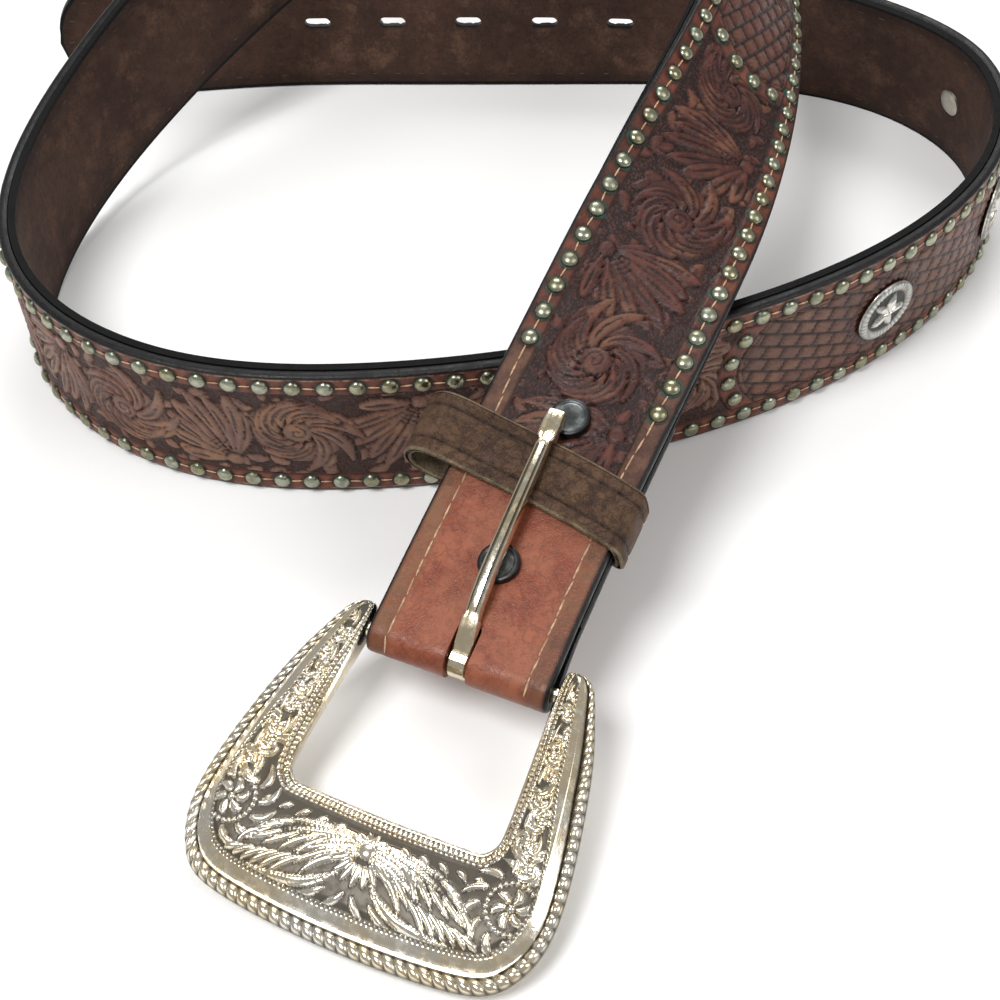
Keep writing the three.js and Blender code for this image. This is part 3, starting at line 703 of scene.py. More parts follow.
def tool_face(x, y):
    """Height and tones of the tooled face: carving, weave, borders, seats of studs and conchos."""
    gap, panel = edge_gap(x, y), panel_gap(x, y)
    tooled = x < PLAIN_START
    carved = (gap > BORDER) & (panel < -PANEL_EDGE) & tooled
    basket = (gap > BORDER) & (panel > PANEL_EDGE) & tooled
    height, ground, cut, rub_and_sheen = carve(x, y, carved)
    weave_height, weave_dark = woven(x, y)
    height, cut = np.where(basket, weave_height, height), np.where(basket, weave_dark, cut)
    # Woven pads lighten on their tops: wear and a painted highlight together.
    rub_and_sheen = np.where(basket, 0.5 * (1 - weave_dark), rub_and_sheen)
    # Scored lines along the border and both sides of a panel's studs, and a second one in the panel
    lines = np.abs(gap - BORDER)
    beside = np.abs(np.abs(panel) - PANEL_EDGE)
    lines = np.where(panel > -3.5, np.minimum(lines, beside), lines)
    lines = np.where((gap < BORDER - 1) & (panel > -3.6) & (panel < 3.6), 9, lines)
    score = np.clip(1 - lines / 0.5, 0, 1) * tooled
    within = np.minimum(gap - BORDER, np.where(basket, panel - PANEL_EDGE, 9))
    inner = np.clip(1 - np.abs(within - 1.5) / 0.4, 0, 1) * basket
    height = height - 0.45 * score - 0.35 * inner
    cut = np.maximum(cut, np.maximum(score, inner))
    for place in CONCHOS:
        radius = np.hypot(x - place, y)
        turn = np.arctan2(y, x - place)
        under, cord = radius < CORD_INNER, (radius > CORD_INNER) & (radius < CORD_OUTER)
        roll = np.sqrt(np.clip(1 - ((radius - CORD_MIDDLE) / 1.3) ** 2, 0, 1))
        twist = 0.5 + 0.5 * np.cos(turn * 30 + (radius - CORD_MIDDLE) * 1.6)
        height = np.where(cord, roll * (0.15 + 0.35 * twist) - 0.35, np.where(under, -0.2, height))
        cut = np.where(cord, 1 - roll * (0.4 + 0.6 * twist), np.where(under, 0, cut))
        # The cord lightens on its crowns: wear and a painted highlight together.
        rub_and_sheen = np.where(cord, 0.5 * roll * twist, np.where(under, 0, rub_and_sheen))
    for place in HOLES:
        beyond = np.maximum(np.abs(x - place) - (HOLE_LENGTH - HOLE_WIDTH) / 2, 0)
        off = np.hypot(beyond, y) - HOLE_WIDTH / 2
        dip = np.exp(-(np.maximum(off, 0) / 0.8) ** 2)
        height, cut = height - 0.35 * dip, np.maximum(cut, 0.7 * dip)
    for back in SCREWS.values():
        off = np.hypot(x - ROUTE_LENGTH + back, y)
        height = np.where(off < 5.6, np.minimum(height, -0.05), height)
    seats = np.exp(-((gap - STUD_INSET) / 0.55) ** 2)
    height = height - 0.1 * seats * (gap < BORDER)
    height = height - 0.5 * np.clip(1 - gap / 0.9, 0, 1) ** 2
    green = np.zeros(len(x))
    order = np.argsort(x, kind="stable")
    for distance, across in np.concatenate([edge_row(), panel_rows()]):
        first, last = np.searchsorted(x[order], (distance - 4, distance + 4))
        near = order[first:last]
        off = np.hypot(x[near] - distance, y[near] - across)
        ring = np.exp(-((off - STUD_RADIUS - 0.3) / 0.5) ** 2)
        height[near] -= 0.22 * ring
        cut[near] = np.maximum(cut[near], 0.75 * ring)
        green[near] = np.maximum(green[near], np.exp(-((off - STUD_RADIUS - 0.15) / 0.4) ** 2))
    border = ((gap <= BORDER) | (np.abs(panel) <= PANEL_EDGE)) * tooled
    return {"height": height, "ground": ground, "cut": cut, "rub_and_sheen": rub_and_sheen, "border": border * 1.0,
            "plain": smoothstep(x, PLAIN_START - 1, PLAIN_START), "woven": basket * 1.0,
            "green": green}


STRETCHES = {"tip": (0, 470), "middle": (470, 940), "buckle": (940, TAB_START + TAB_LENGTH)}
STEP, QUICK_STEP = 0.5, 1.6


def strap_stretch(name, start, end):
    step = STEP
    columns = round(BELT_WIDTH / step)
    piece = leather_blank("tooled_strap_" + name, start, end, step, columns, OUTER_THICK)
    tools = outer_punches(start, end)
    if tools:
        punch(piece, tools)
    flat = coordinates(piece)
    distance, across, depth = flat[:, 0], flat[:, 1], -flat[:, 2]
    across = across * half_width(distance) / HALF
    rim = 1 - np.abs(flat[:, 1]) / HALF
    from_middle = np.abs(depth - OUTER_THICK / 2)
    inset = 0.3 * smoothstep(from_middle, OUTER_THICK * 0.25, OUTER_THICK * 0.5) * (rim < TOUCH)
    across = across - np.sign(across) * np.minimum(inset, np.abs(across))
    top = depth < TOUCH
    tones = tool_face(distance, across)
    reshape(piece, lay_belt(distance, across, np.where(top, depth - tones.pop("height"), depth)))
    for tone, values in tones.items():
        mark(piece, tone, values * top)
    gap = edge_gap(distance, across)
    mark(piece, "painted", np.where(top, smoothstep(1.15 - gap, 0, 0.35), 1.0))
    mark(piece, "gap", gap)
    mark(piece, "run", distance)
    if start == 0:
        merge_close(piece)
    face_outwards(piece)
    smooth(piece, 50)
    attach(piece, "belt")
    return piece


strap_pieces = [strap_stretch(name, *ends) for name, ends in STRETCHES.items()]


def lining():
    end = ROUTE_LENGTH - LINING_STOP
    piece = leather_blank("lining", 0, end, 2, 24, LINING_THICK)
    punch(piece, [oblong_punch(place, HOLE_LENGTH, HOLE_WIDTH, False) for place in HOLES]
          + [round_punch(place, CONCHO_POST + FIT_GAP) for place in CONCHOS]
          + [round_punch(ROUTE_LENGTH - back, SCREW_HOLE) for back in SCREWS.values()])
    flat = coordinates(piece)
    across = flat[:, 1] * half_width(flat[:, 0]) / HALF
    reshape(piece, lay_belt(flat[:, 0], across, PLY + flat[:, 2]))
    mark(piece, "painted", np.where(flat[:, 2] > -TOUCH, 0.0, 1.0))
    mark(piece, "gap", edge_gap(flat[:, 0], across))
    merge_close(piece)
    face_outwards(piece)
    smooth(piece, 50)
    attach(piece, "belt")
    return piece


lining_piece = lining()


# ---- keeper


def curve_through(points, count):
    """Points at even steps along a smooth curve through the given ones."""
    points = np.asarray(points, float)
    knots = lengths_along(points)
    splines = [natural_spline(knots, column) for column in points.T]
    fine = np.stack([spline(np.linspace(0, knots[-1], 20 * count))[0] for spline in splines],
                    axis=1)
    run = lengths_along(fine)
    even = np.linspace(0, run[-1], count)
    return np.stack([np.interp(even, run, column) for column in fine.T], axis=1)


def keeper_line():
    """The keeper's middle line round the strap: close on one side, standing open on the other."""
    off = KEEPER_THICK / 2 + FIT_GAP
    near, edge, top, bottom = -HALF - off, HALF, off, -STACK - off
    middle, far = -STACK / 2, HALF + KEEPER_BULGE
    corners = []
    for side, turn_start in ((bottom + off, 1.5 * math.pi), (top - off, math.pi)):
        for angle in np.linspace(turn_start, turn_start - math.pi / 2, 5):
            corners.append((near + off + off * math.cos(angle), side + off * math.sin(angle)))
    bulge = [
        (-edge * 0.2, top), (edge * 0.55, top + KEEPER_THICK * 0.1), (edge * 0.95,
                                                                      top + KEEPER_THICK * 0.7),
        (edge + KEEPER_BULGE * 0.55, top + KEEPER_THICK * 0.8),
        (far - KEEPER_BULGE * 0.1, middle + KEEPER_THICK * 1.3),
        (far - KEEPER_BULGE * 0.05, middle - KEEPER_THICK * 1.3),
        (edge + KEEPER_BULGE * 0.5, bottom - KEEPER_THICK * 0.8), (edge * 0.95,
                                                                   bottom - KEEPER_THICK * 0.5),
        (edge * 0.5, bottom), (-edge * 0.2, bottom),
    ]
    return np.concatenate([corners, curve_through(bulge, 90)])


def keeper():
    line = curve_through(np.concatenate([keeper_line(), keeper_line()[:1]]), 161)[:-1]
    tangent = unit(np.roll(line, -1, axis=0) - np.roll(line, 1, axis=0))
    half_thick, half_wide, corner = KEEPER_THICK / 2, KEEPER_WIDTH / 2, 0.7
    section = []
    for side, wide in ((1, 1), (1, -1), (-1, -1), (-1, 1)):
        for i in range(4):
            angle = math.pi / 6 * i
            turn = (math.sin(angle), math.cos(angle)) if side == wide else (math.cos(angle),
                                                                            math.sin(angle))
            section.append((side * (half_thick - corner + corner * turn[1]),
                            wide * (half_wide - corner + corner * turn[0])))
        if side == 1 and wide == 1:
            section += [(half_thick, w) for w in np.linspace(half_wide - 1.2, 1.2 - half_wide, 24)]
    section = np.array(section)
    off_seam = np.abs(section[:, 1]) - half_wide + KEEPER_CREASE
    crease = np.exp(-(off_seam / 0.45) ** 2) * (section[:, 0] > half_thick - 0.1)
    raw = smoothstep(np.abs(section[:, 1]), half_wide - 0.75, half_wide - 0.45)
    rows, dents = [], []
    for (across, off), (along_across, along_off), gone in zip(line, tangent, lengths_along(line)):
        # The keeper has slid askew: it leans along the strap and curls a little
        lean = np.clip(across / 24, -1.1, 1.3)
        place = KEEPER_PLACE + 1.6 + 3.4 * lean - 1.2 * lean ** 2
        tick = 0.5 + 0.5 * math.cos(gone * 2 * math.pi / STITCH_PITCH)
        dent = crease * (0.6 + 0.4 * tick ** 6)
        dents.append(dent)
        shift = section[:, 0] - 0.45 * dent
        point, _, up, out = frames_at(ROUTE_LENGTH - place + section[:, 1])
        spot = (across - along_off * shift)[:, None] * up + (off + along_across * shift)[:, None] * out
        rows.append(metres(point + spot))
    tones = {"crease": np.array(dents), "raw": np.tile(raw, (len(rows), 1))}
    piece = skin("keeper", rows, ring=True, tones=tones)
    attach(piece, "belt")
    return piece


keeper_piece = keeper()

# ---- buckle

# Half of the frame from the horn's end to the middle of the rim: inner and outer edge as shares of
# the half widths and the depths, inner border and dome as shares of FRAME_CROWN, back as a share of
# FRAME_BACK
FRAME_ROWS = [
    (1.03, -1.0, 0.645, -1.05, 0.4, 0.4, 0.5), (1.005, -0.7, 0.71, -0.62, 0.68, 0.68, 0.9),
    (1.0, 0.06, 0.78, 0.05, 0.75, 0.8, 1.0), (1.02, 0.3, 0.86, 0.19, 0.55, 0.92, 0.8),
    (1.045, 0.57, 0.94, 0.4, 0.4, 1.0, BACK_SHARE), (1.065, 0.82, 0.995, 0.62, 0.38, 1.0,
                                                     BACK_SHARE),
    (1.045, 0.93, 0.98, 0.79, 0.38, 1.0, BACK_SHARE), (0.97, 0.985, 0.87, 0.915, 0.38, 1.0,
                                                       BACK_SHARE),
    (0.83, 1.0, 0.68, 0.97, 0.38, 1.0, BACK_SHARE), (0.45, 1.005, 0.35, 0.993, 0.38, 1.0,
                                                     BACK_SHARE),
    (0, 1.01, 0, 1.0, 0.38, 1.0, BACK_SHARE),
]
ROPE_PITCH, BEAD_PITCH, MILLING_PITCH = 2.75, 1.25, 1.15
ROSETTE = (33.2, 47.6)
# The face's crown between its inner and its outer edge
CROWN_SHARES = [(0.14, 0.72), (0.27, 0.92), (0.4, 1), (0.54, 0.97), (0.68, 0.86), (0.83, 0.42),
                (0.86, 0.36)]


def buckle_frame_directions():
    heading = unit(np.cross([0.0, 0.0, 1.0], end_up))
    rim = (FRAME_DEPTH, FRAME_BACK * BACK_SHARE + FRAME_ARCH)
    reach = math.hypot(*rim)
    drop = math.asin((bar_middle[2] - FIT_GAP) / reach) - math.atan2(rim[1], rim[0])
    along = heading * math.cos(drop) - np.array([0, 0, math.sin(drop)])
    return along, end_up, unit(np.cross(end_up, along))


buckle_along, buckle_up, buckle_out = buckle_frame_directions()


def on_buckle(points):
    """Metres from the buckle's own places: down from the bar, off its face, along the bar."""
    down, height, across = points[..., 0:1], points[..., 1:2], points[..., 2:3]
    return metres(bar_middle + buckle_along * down + buckle_out * height + buckle_up * across)


def frame_columns(places):
    half = []
    for inner_x, inner_v, outer_x, outer_v, edge, crown, back in FRAME_ROWS:
        half.append((inner_x * OPENING_WIDTH / 2,
                     inner_v * (HORN_RISE if inner_v < 0 else OPENING_DEPTH),
                     outer_x * FRAME_WIDTH / 2, outer_v * (HORN_RISE if outer_v < 0 else FRAME_DEPTH),
                     edge * FRAME_CROWN, crown * FRAME_CROWN, back * FRAME_BACK))
    rows = np.array(half + [(-x, v, -ox, ov, *rest) for x, v, ox, ov, *rest in half[-2::-1]])
    return [natural_spline(np.arange(len(rows)), column)(places)[0][:, None] for column in rows.T]


def engrave(side, down, field):
    """The buckle's leaf strokes, burst, rosettes and arm scrolls: height, and the ground left."""
    carving = Carving(side, down, np.zeros(len(side)), -0.2)
    carving.ground[:] = 1

    def stroke(start, bend, end, width=0.95, crown=0.5):
        for mirror in (-1, 1):
            points = [(mirror * x, y) for x, y in (start, bend, end)]
            spine = sweep_line(*points, 22)
            carving.leaf(spine, taper(len(spine), width, 0.8, 0.7), 0.1, crown, 0.1, 0.5)

    for i in range(6):
        stroke((0.3 + 0.5 * (i % 2), 45.6 + 0.75 * i), (9.5, 44.4 + 1.35 * i),
               (21.5 - 1.9 * i, 48.2 + 2.0 * i), 0.98)
    for i in range(4):
        stroke((8 + 3.6 * i, 47.5 + 0.9 * i), (13 + 3 * i, 50.4 + 0.7 * i),
               (14 + 4.2 * i, 54.2 + 0.2 * i), 0.75)
    for i in range(3):
        stroke((3.5 + 1.5 * i, 53.5 + 1.2 * i), (10 + 2 * i, 60.2 + 0.4 * i),
               (17.5 + 4 * i, 59.8 - 0.4 * i), 1.05)
    for i in range(5):
        stroke((6.5 + 4.3 * i, 44.4), (8.2 + 4.3 * i, 44.2), (9.4 + 4.3 * i, 46.3), 0.72)
    stroke((5, 57.4), (9, 61.6), (15.5, 61.9), 0.8)
    stroke((0.8, 57), (2, 60), (6, 61.8), 0.8)
    for angle in (0, 19, 38, 57):
        a = math.radians(angle)
        root, tip = (3.2 * math.sin(a), 47.6 + 3.2 * math.cos(a)), (8 * math.sin(a),
                                                                    47.6 + 8.2 * math.cos(a))
        stroke(root, ((root[0] + tip[0]) / 2, (root[1] + tip[1]) / 2), tip, 1.0, 0.6)
    for angle in (18, 52, 86):
        a = math.radians(angle)
        stroke((0.8 * math.sin(a), 46.6 - 0.8 * math.cos(a)),
               (2.4 * math.sin(a), 46.0 - 2.2 * math.cos(a)),
               (4.6 * math.sin(a), 46.4 - 2.9 * math.cos(a)), 0.7)
    carving.ball((0, 47.6), 1.9, 0.1, 0.6, 0.15, 0.5)
    for mirror in (-1, 1):
        centre = (mirror * ROSETTE[0], ROSETTE[1])
        for i in range(12):
            a = math.radians(30 * i + 8)
            root, tip = polar(centre, 6.3, a), polar(centre, 11, a + 0.45)
            bend = polar(centre, 9.5, a + 0.05)
            spine = sweep_line(root, bend, tip, 18)
            carving.leaf(spine, taper(len(spine), 0.9, 0.8), 0.1, 0.45, 0.1, 0.5)
        for i in range(26):
            carving.ball(polar(centre, 5.3, 2 * math.pi * i / 26), 0.52, 0.05, 0.4, 0.1, 0.3)
        for i in range(6):
            a = math.radians(60 * i + 15)
            root, tip = polar(centre, 0.9, a), polar(centre, 4.2, a + 0.35)
            bend = polar(centre, 3.3, a - 0.25)
            spine = sweep_line(root, bend, tip, 14)
            carving.leaf(spine, taper(len(spine), 0.95, 0.9), 0.1, 0.5, 0.1, 0.5)
        carving.ball(centre, 0.9, 0.1, 0.5, 0.1, 0.4)
    for i in range(6):
        stroke((12 + 2.7 * i, 53.6 + 0.5 * i), (16.5 + 2.6 * i, 55.6 + 0.3 * i),
               (19 + 2.1 * i, 60.6 - 0.5 * i), 0.8)
    for i in range(4):
        stroke((17 + 2.2 * i, 47.6 + 1.4 * i), (21 + 2 * i, 48 + 1.6 * i),
               (24.5 + 1.0 * i, 51.5 + 1.8 * i), 0.75)
    for i in range(9):
        share = i / 8
        x, y = 32.6 - 5.0 * share ** 0.8, 38.5 - 39 * share
        size = 1 - 0.3 * share
        lean = 1.2 * (-1) ** i * size
        for mirror in (-1, 1):
            swirl(carving, (mirror * (x + lean), y), 3.6 * size, mirror * (-1) ** i, 40 * i, 5, 0.9,
                  0.85 * size,
                  0.5, 0.15, 0.35, 0)
        stroke((x - lean * 1.5, y + 2.4), (x - lean * 2.2, y), (x - lean * 1.2, y - 2.6),
               0.6 * size)
    height, ground = carving.back(carving.height), carving.back(carving.ground)
    return np.where(field, height, 0), np.where(field, ground, 0)


def buckle_frame():
    rows = 800
    count = 112
    fine = np.linspace(0, 2 * len(FRAME_ROWS) - 2, 4000)
    x, v, ox, ov = frame_columns(fine)[:4]
    gone = np.hypot(np.diff(ox[:, 0]), np.diff(ov[:, 0])) + 0.6 * np.hypot(np.diff(x[:, 0]),
                                                                           np.diff(v[:, 0]))
    gone = np.concatenate([[0], np.cumsum(gone)])
    places = np.interp(np.linspace(0, gone[-1], rows), gone, fine)
    x, v, ox, ov, edge, crown, back = frame_columns(places)
    way = np.linspace(0, 1, count)[None, :]
    wide = np.hypot(ox - x, ov - v)
    from_rim, from_bar = (1 - way) * wide, way * wide
    inner_run = np.concatenate([[0], np.cumsum(np.hypot(np.diff(x[:, 0]), np.diff(v[:, 0])))])[:, None]
    rim_run = np.concatenate([[0], np.cumsum(np.hypot(np.diff(ox[:, 0]), np.diff(ov[:, 0])))])[:, None]
    size = np.clip(wide / 15, 0.5, 1)
    rope, bevel, bead, bars = 3.3 * size, 6.9 * size, 7.7 * size, 3.2 * size

    shares = np.array(CROWN_SHARES)
    height = np.where(way < 0.06, edge * (0.75 + 0.25 * way / 0.06), edge)
    height = height + smoothstep(way, 0.06, 0.14) * (crown * np.interp(way, *shares.T) - edge)
    lane = (from_rim - rope / 2) / (rope / 2)
    rolled = np.sqrt(np.clip(1 - lane ** 2, 0, 1))
    link = rim_run / ROPE_PITCH + 0.36 * lane
    strand = (link - np.floor(link)) * 2 - 1
    twist = np.sqrt(np.clip(1 - 0.97 * strand ** 2, 0, 1))
    cord = crown * 0.16 + rope * 0.5 * rolled * (0.5 + 0.5 * twist)
    height = np.where(from_rim < rope, cord, height)
    recess = np.where(from_rim < rope, 1 - smoothstep(rolled * twist, 0.25, 0.75), 0.0)
    recess = np.maximum(recess, np.exp(-((from_rim - rope) / 0.3) ** 2))

    beads = (from_rim > bevel) & (from_rim < bead)
    row_lane = (from_rim - (bevel + bead) / 2) / ((bead - bevel) / 2)
    bump = np.cos(rim_run * 2 * math.pi / BEAD_PITCH) * 0.5 + 0.5
    beaded = height - 0.25 + 0.42 * np.sqrt(np.clip(1 - row_lane ** 2, 0, 1)) * bump
    height = np.where(beads, beaded, height)
    recess = np.where(beads, 1 - np.clip(1 - row_lane ** 2, 0, 1) * bump, recess)

    milled = (from_bar > 0.7 * size) & (from_bar < bars)
    middle = (0.7 * size + bars) / 2
    shift = np.where(from_bar > middle, 0.5, 0.0)
    tooth = (inner_run / MILLING_PITCH + shift) % 1 * 2 - 1
    row_lane = (from_bar - np.where(from_bar > middle, (middle + bars) / 2,
                                    (0.7 * size + middle) / 2)) / (
        (bars - middle) / 2)
    bar = np.clip(1 - tooth ** 4, 0, 1) * np.clip(1 - np.abs(row_lane) ** 3, 0, 1)
    height = np.where(milled, height - 0.3 + 0.42 * bar, height)
    recess = np.where(milled, 1 - smoothstep(bar, 0.15, 0.7), recess)

    down = v + (ov - v) * way
    side = x + (ox - x) * way
    field = (from_rim > bead) & (from_bar > bars)
    cut, ground = engrave(side.ravel(), down.ravel(), field.ravel())
    height = height + np.where(field, cut.reshape(field.shape) - 0.3, 0)
    recess = np.where(field, ground.reshape(field.shape), recess)

    arch = FRAME_ARCH * (np.maximum(down, 0) / FRAME_DEPTH) ** 2
    face = np.stack([down, height - arch, side], axis=-1)
    behind = []
    for share in (0.985, 0.9, 0.6, 0.3, 0.04):
        low = -back - (FRAME_ARCH * (np.maximum(v + (ov - v) * share, 0) / FRAME_DEPTH) ** 2)
        behind.append(np.concatenate([v + (ov - v) * share, low, x + (ox - x) * share], axis=1))
    rows = np.concatenate([face, np.stack(behind, axis=1)], axis=1)
    tones = {"recess": np.concatenate([recess, np.zeros((len(recess), len(behind)))], axis=1)}
    piece = skin("engraved_buckle", on_buckle(rows), angle=60, tones=tones)
    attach(piece, "buckle")
    return piece


buckle_piece = buckle_frame()

# ---- prong: reach along it, rise over the keeper, half width and half height as shares
PRONG_ROWS = [
    (0.0, 0.2, 0.52, 0.34), (0.015, 0.31, 0.53, 0.42), (0.08, 0.45, 0.53, 0.5), (0.125, 0.62, 0.52,
                                                                                 0.5),
    (0.135, 0.65, 0.44, 0.44), (0.155, 0.7, 0.43, 0.47), (0.2, 0.8, 0.43, 0.47), (0.28, 0.89, 0.43,
                                                                                  0.47),
    (0.38, 0.94, 0.42, 0.47), (0.5, 0.97, 0.41, 0.47), (0.62, 0.99, 0.4, 0.47), (0.845, 1.0, 0.38,
                                                                                 0.47),
    (0.855, 1.0, 0.36, 0.38), (0.87, 1.0, 0.36, 0.38), (0.88, 1.0, 0.53, 0.5), (0.93, 1.0, 0.54,
                                                                                0.52),
    (0.985, 0.99, 0.52, 0.5), (1, 0.99, 0.47, 0.42),
]


def prong():
    keeper_point, _, _, keeper_out = frames_at(np.array(ROUTE_LENGTH - KEEPER_PLACE))
    top = keeper_point + keeper_out * (KEEPER_THICK + 2 * FIT_GAP) - bar_middle
    rest = top @ end_out + PRONG_HEIGHT / 2
    right = [(0.32, 0.94), (0.42, GROOVE_FLOOR), (0.56, GROOVE_FLOOR), (0.66, 0.94), (0.84, 0.86),
             (1, 0.4)]
    section = [(-1, -0.4), (-0.6, -1), (0.6, -1), (1, -0.4), *right[::-1], (0, 1),
               *((-side, over) for side, over in right)]
    lift = np.array([GROOVE_FILL if over == GROOVE_FLOOR else 0 for _, over in section])
    rows, low = [], []
    for reach, rise, wide, high in PRONG_ROWS:
        grooved = 0.15 < reach < 0.85
        low.append((lift > 0) * (1.0 if grooved else 0.0))
        rows.append([
            metres(bar_middle - end_along * reach * PRONG_LENGTH
                   + end_out * (rise * rest + (over + (0 if grooved else fill)) * high * PRONG_HEIGHT)
                   + end_up * (side * wide * PRONG_WIDTH + reach * PRONG_DRIFT))
            for (side, over), fill in zip(section, lift)
        ])
    shaft = skin("shaft", rows, angle=35, tones={"recess": np.array(low)})
    inner, half = BAR_RADIUS + FIT_GAP, RING_WIDTH / 2
    ring_profile = [(inner, -half), (RING_RADIUS - 0.5, -half), (RING_RADIUS, 0.6 - half),
                    (RING_RADIUS, half - 0.6), (RING_RADIUS - 0.5, half), (inner, half)]
    turns = np.linspace(0, 2 * math.pi, 16, endpoint=False)
    ring_rows = [
        [metres(bar_middle + end_up * h + r * (end_along * math.cos(a) + end_out * math.sin(a)))
         for r, h in ring_profile] for a in turns
    ]
    ring = skin("ring", ring_rows, ring=True, angle=20)
    piece = joined("gilt_prong", [shaft, ring])
    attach(piece, "prong")
    return piece


prong_piece = prong()

# ---- screws and conchos


def fold_screw(name, back):
    piece = turned("fold_screw_post_" + name, [
        (0, -STACK - 1.5), (4.3, -STACK - 1.5), (SCREW_HEAD, -STACK - 0.9), (SCREW_HEAD,
                                                                             -STACK - 0.3),
        (SCREW_SHANK, -STACK - 0.3), (SCREW_SHANK, 0.15), (SCREW_HEAD, 0.15), (SCREW_HEAD, 1.45),
        (4.75, 1.8), (4.3, 2.0), (3.9, 1.95), (3.65, 1.7), (3.4, 1.62),
        (2.4, 1.66), (1.2, 1.6), (0, 1.56),
    ], 48)
    places = coordinates(piece)
    radius = np.hypot(places[:, 0], places[:, 1])
    face = (0.35 + 0.65 * smoothstep(radius, 1.3, 3.0)) * smoothstep(4.1, radius, radius + 0.3)
    mark(piece, "face", face * smoothstep(places[:, 2], 1.0, 1.2))
    piece.data.transform(seat(ROUTE_LENGTH - back, 0, 0))
    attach(piece, "belt")
    return piece


def concho():
    """A disc with a notched rim and a raised star on a pebbled ground, turned and then struck."""
    radii = np.concatenate([np.linspace(9.45, 6.9, 10), np.linspace(6.6, 0.25, 20)])
    sides = 80
    turns = np.linspace(0, 2 * math.pi, sides, endpoint=False)
    radius, turn = radii[:, None], turns[None, :]
    roll = np.sqrt(np.clip(1 - ((radius - 8.15) / 1.45) ** 2, 0, 1))
    notch = 0.5 + 0.5 * np.cos(turn * 36 + (radius - 8) * 1.2)
    point = np.abs(((turn * 5 / (2 * math.pi)) % 1) * 2 - 1)
    arm = 2.3 + 3.9 * (1 - point) ** 1.3
    star = np.clip((arm - radius) / 1.6, 0, 1)
    ridge = 0.35 * (1 - point) + 0.25 * (1 - radius / 6.5)
    pebbles = 0.12 * np.sin(turn * 20) * np.sin(radius * 4.2) * (radius < 6.6) * (star < 0.05)
    rim = radius > 6.75
    raised = 0.85 + 1.25 * star ** 0.6 * (0.6 + ridge) + pebbles
    height = np.where(rim, 0.7 + roll * (0.65 + 0.3 * notch), raised)
    low = np.where(rim, 1 - roll * (0.35 + 0.65 * notch),
                   1 - smoothstep(star, 0.02, 0.3)) + 0 * turn
    shell = [(0.0, -2.3), (CONCHO_POST, -2.3), (CONCHO_POST, 0.1), (9.2, 0.1), (CONCHO_RADIUS, 0.5)]
    rows = [[(r * math.cos(a), r * math.sin(a), h) for a in turns] for r, h in shell]
    rows += [[(r * math.cos(a), r * math.sin(a), h) for a, h in zip(turns, line)] for r,
             line in zip(radii, height)]
    rows.append([(0, 0, height[-1].mean() + 0.05)] * sides)
    tones = {"recess": np.concatenate([np.zeros((len(shell), sides)), low, np.zeros((1, sides))])}
    return skin("concho_master", rows, angle=55, tones=tones)


def concho_post():
    return turned("post_master", [
        (0, -PLY - 1.6), (3.2, -PLY - 1.5), (4.2, -PLY - 0.9), (CONCHO_BACK, -PLY - 0.2),
        (CONCHO_POST, -PLY - 0.1), (CONCHO_POST, -OUTER_THICK), (0, -OUTER_THICK),
    ], 32)


screw_pieces = {name: fold_screw(name, back) for name, back in SCREWS.items()}
concho_master, post_master = concho(), concho_post()
concho_pieces, post_pieces = [], []
for i, place in enumerate(CONCHOS):
    for master, made, label in ((concho_master, concho_pieces, "concho"),
                                (post_master, post_pieces, "post")):
        twin = copied(master, seat(place, 0, 0))
        twin.name = f"star_{label}_{i + 1}"
        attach(twin, "belt")
        made.append(twin)
bpy.data.objects.remove(concho_master)
bpy.data.objects.remove(post_master)

# ---- studs


def studs():
    master = added("stud", bpy.ops.mesh.primitive_uv_sphere_add, segments=12, ring_count=8,
                   radius=STUD_RADIUS)
    edit(master)
    bpy.ops.mesh.select_all(action="SELECT")
    bpy.ops.mesh.bisect(plane_co=(0, 0, 0), plane_no=(0, 0, 1), clear_inner=True, use_fill=True)
    done()
    master.scale = (1, 1, STUD_DOME)
    fix(master)
    smooth(master, 50)
    mark(master, "low", 1 - coordinates(master)[:, 2] / (STUD_DOME * STUD_RADIUS))
    places = np.concatenate([edge_row(), panel_rows()])
    made = [copied(master, seat(distance, across, -0.12)) for distance, across in places]
    bpy.data.objects.remove(master)
    piece = joined("spot_studs", made)
    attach(piece, "belt")
    return piece


def leather_seat(distance, across, lift, turn=0.0):
    """A matrix for a piece on the outer leather, which follows it round the fold too."""
    steps = np.array([[0.0, 0.0], [0.3, 0.0], [0.0, 0.3]])
    spots = lay_belt(distance + steps[:, 0], across + steps[:, 1], np.full(3, -lift))
    along, up = unit(spots[1] - spots[0]), unit(spots[2] - spots[0])
    out = np.cross(up, along)
    basis = Matrix([[along[i], -up[i], out[i], 0] for i in range(3)] + [[0, 0, 0, 1]])
    sized = Matrix.Rotation(turn, 4, "Z") @ Matrix.Scale(MM, 4)
    return Matrix.Translation(Vector(spots[0])) @ basis @ sized


def thread_stitch(length, thick):
    """One stitch of waxed thread along x, a rounded bar whose ends dip into the leather."""
    stitch = added("stitch", bpy.ops.mesh.primitive_uv_sphere_add, segments=6, ring_count=6,
                   radius=0.5,
                   rotation=(0, math.pi / 2, 0))
    fix(stitch)
    stitch.scale = (length, thick, thick * 0.8)
    fix(stitch)
    smooth(stitch, 80)
    return stitch


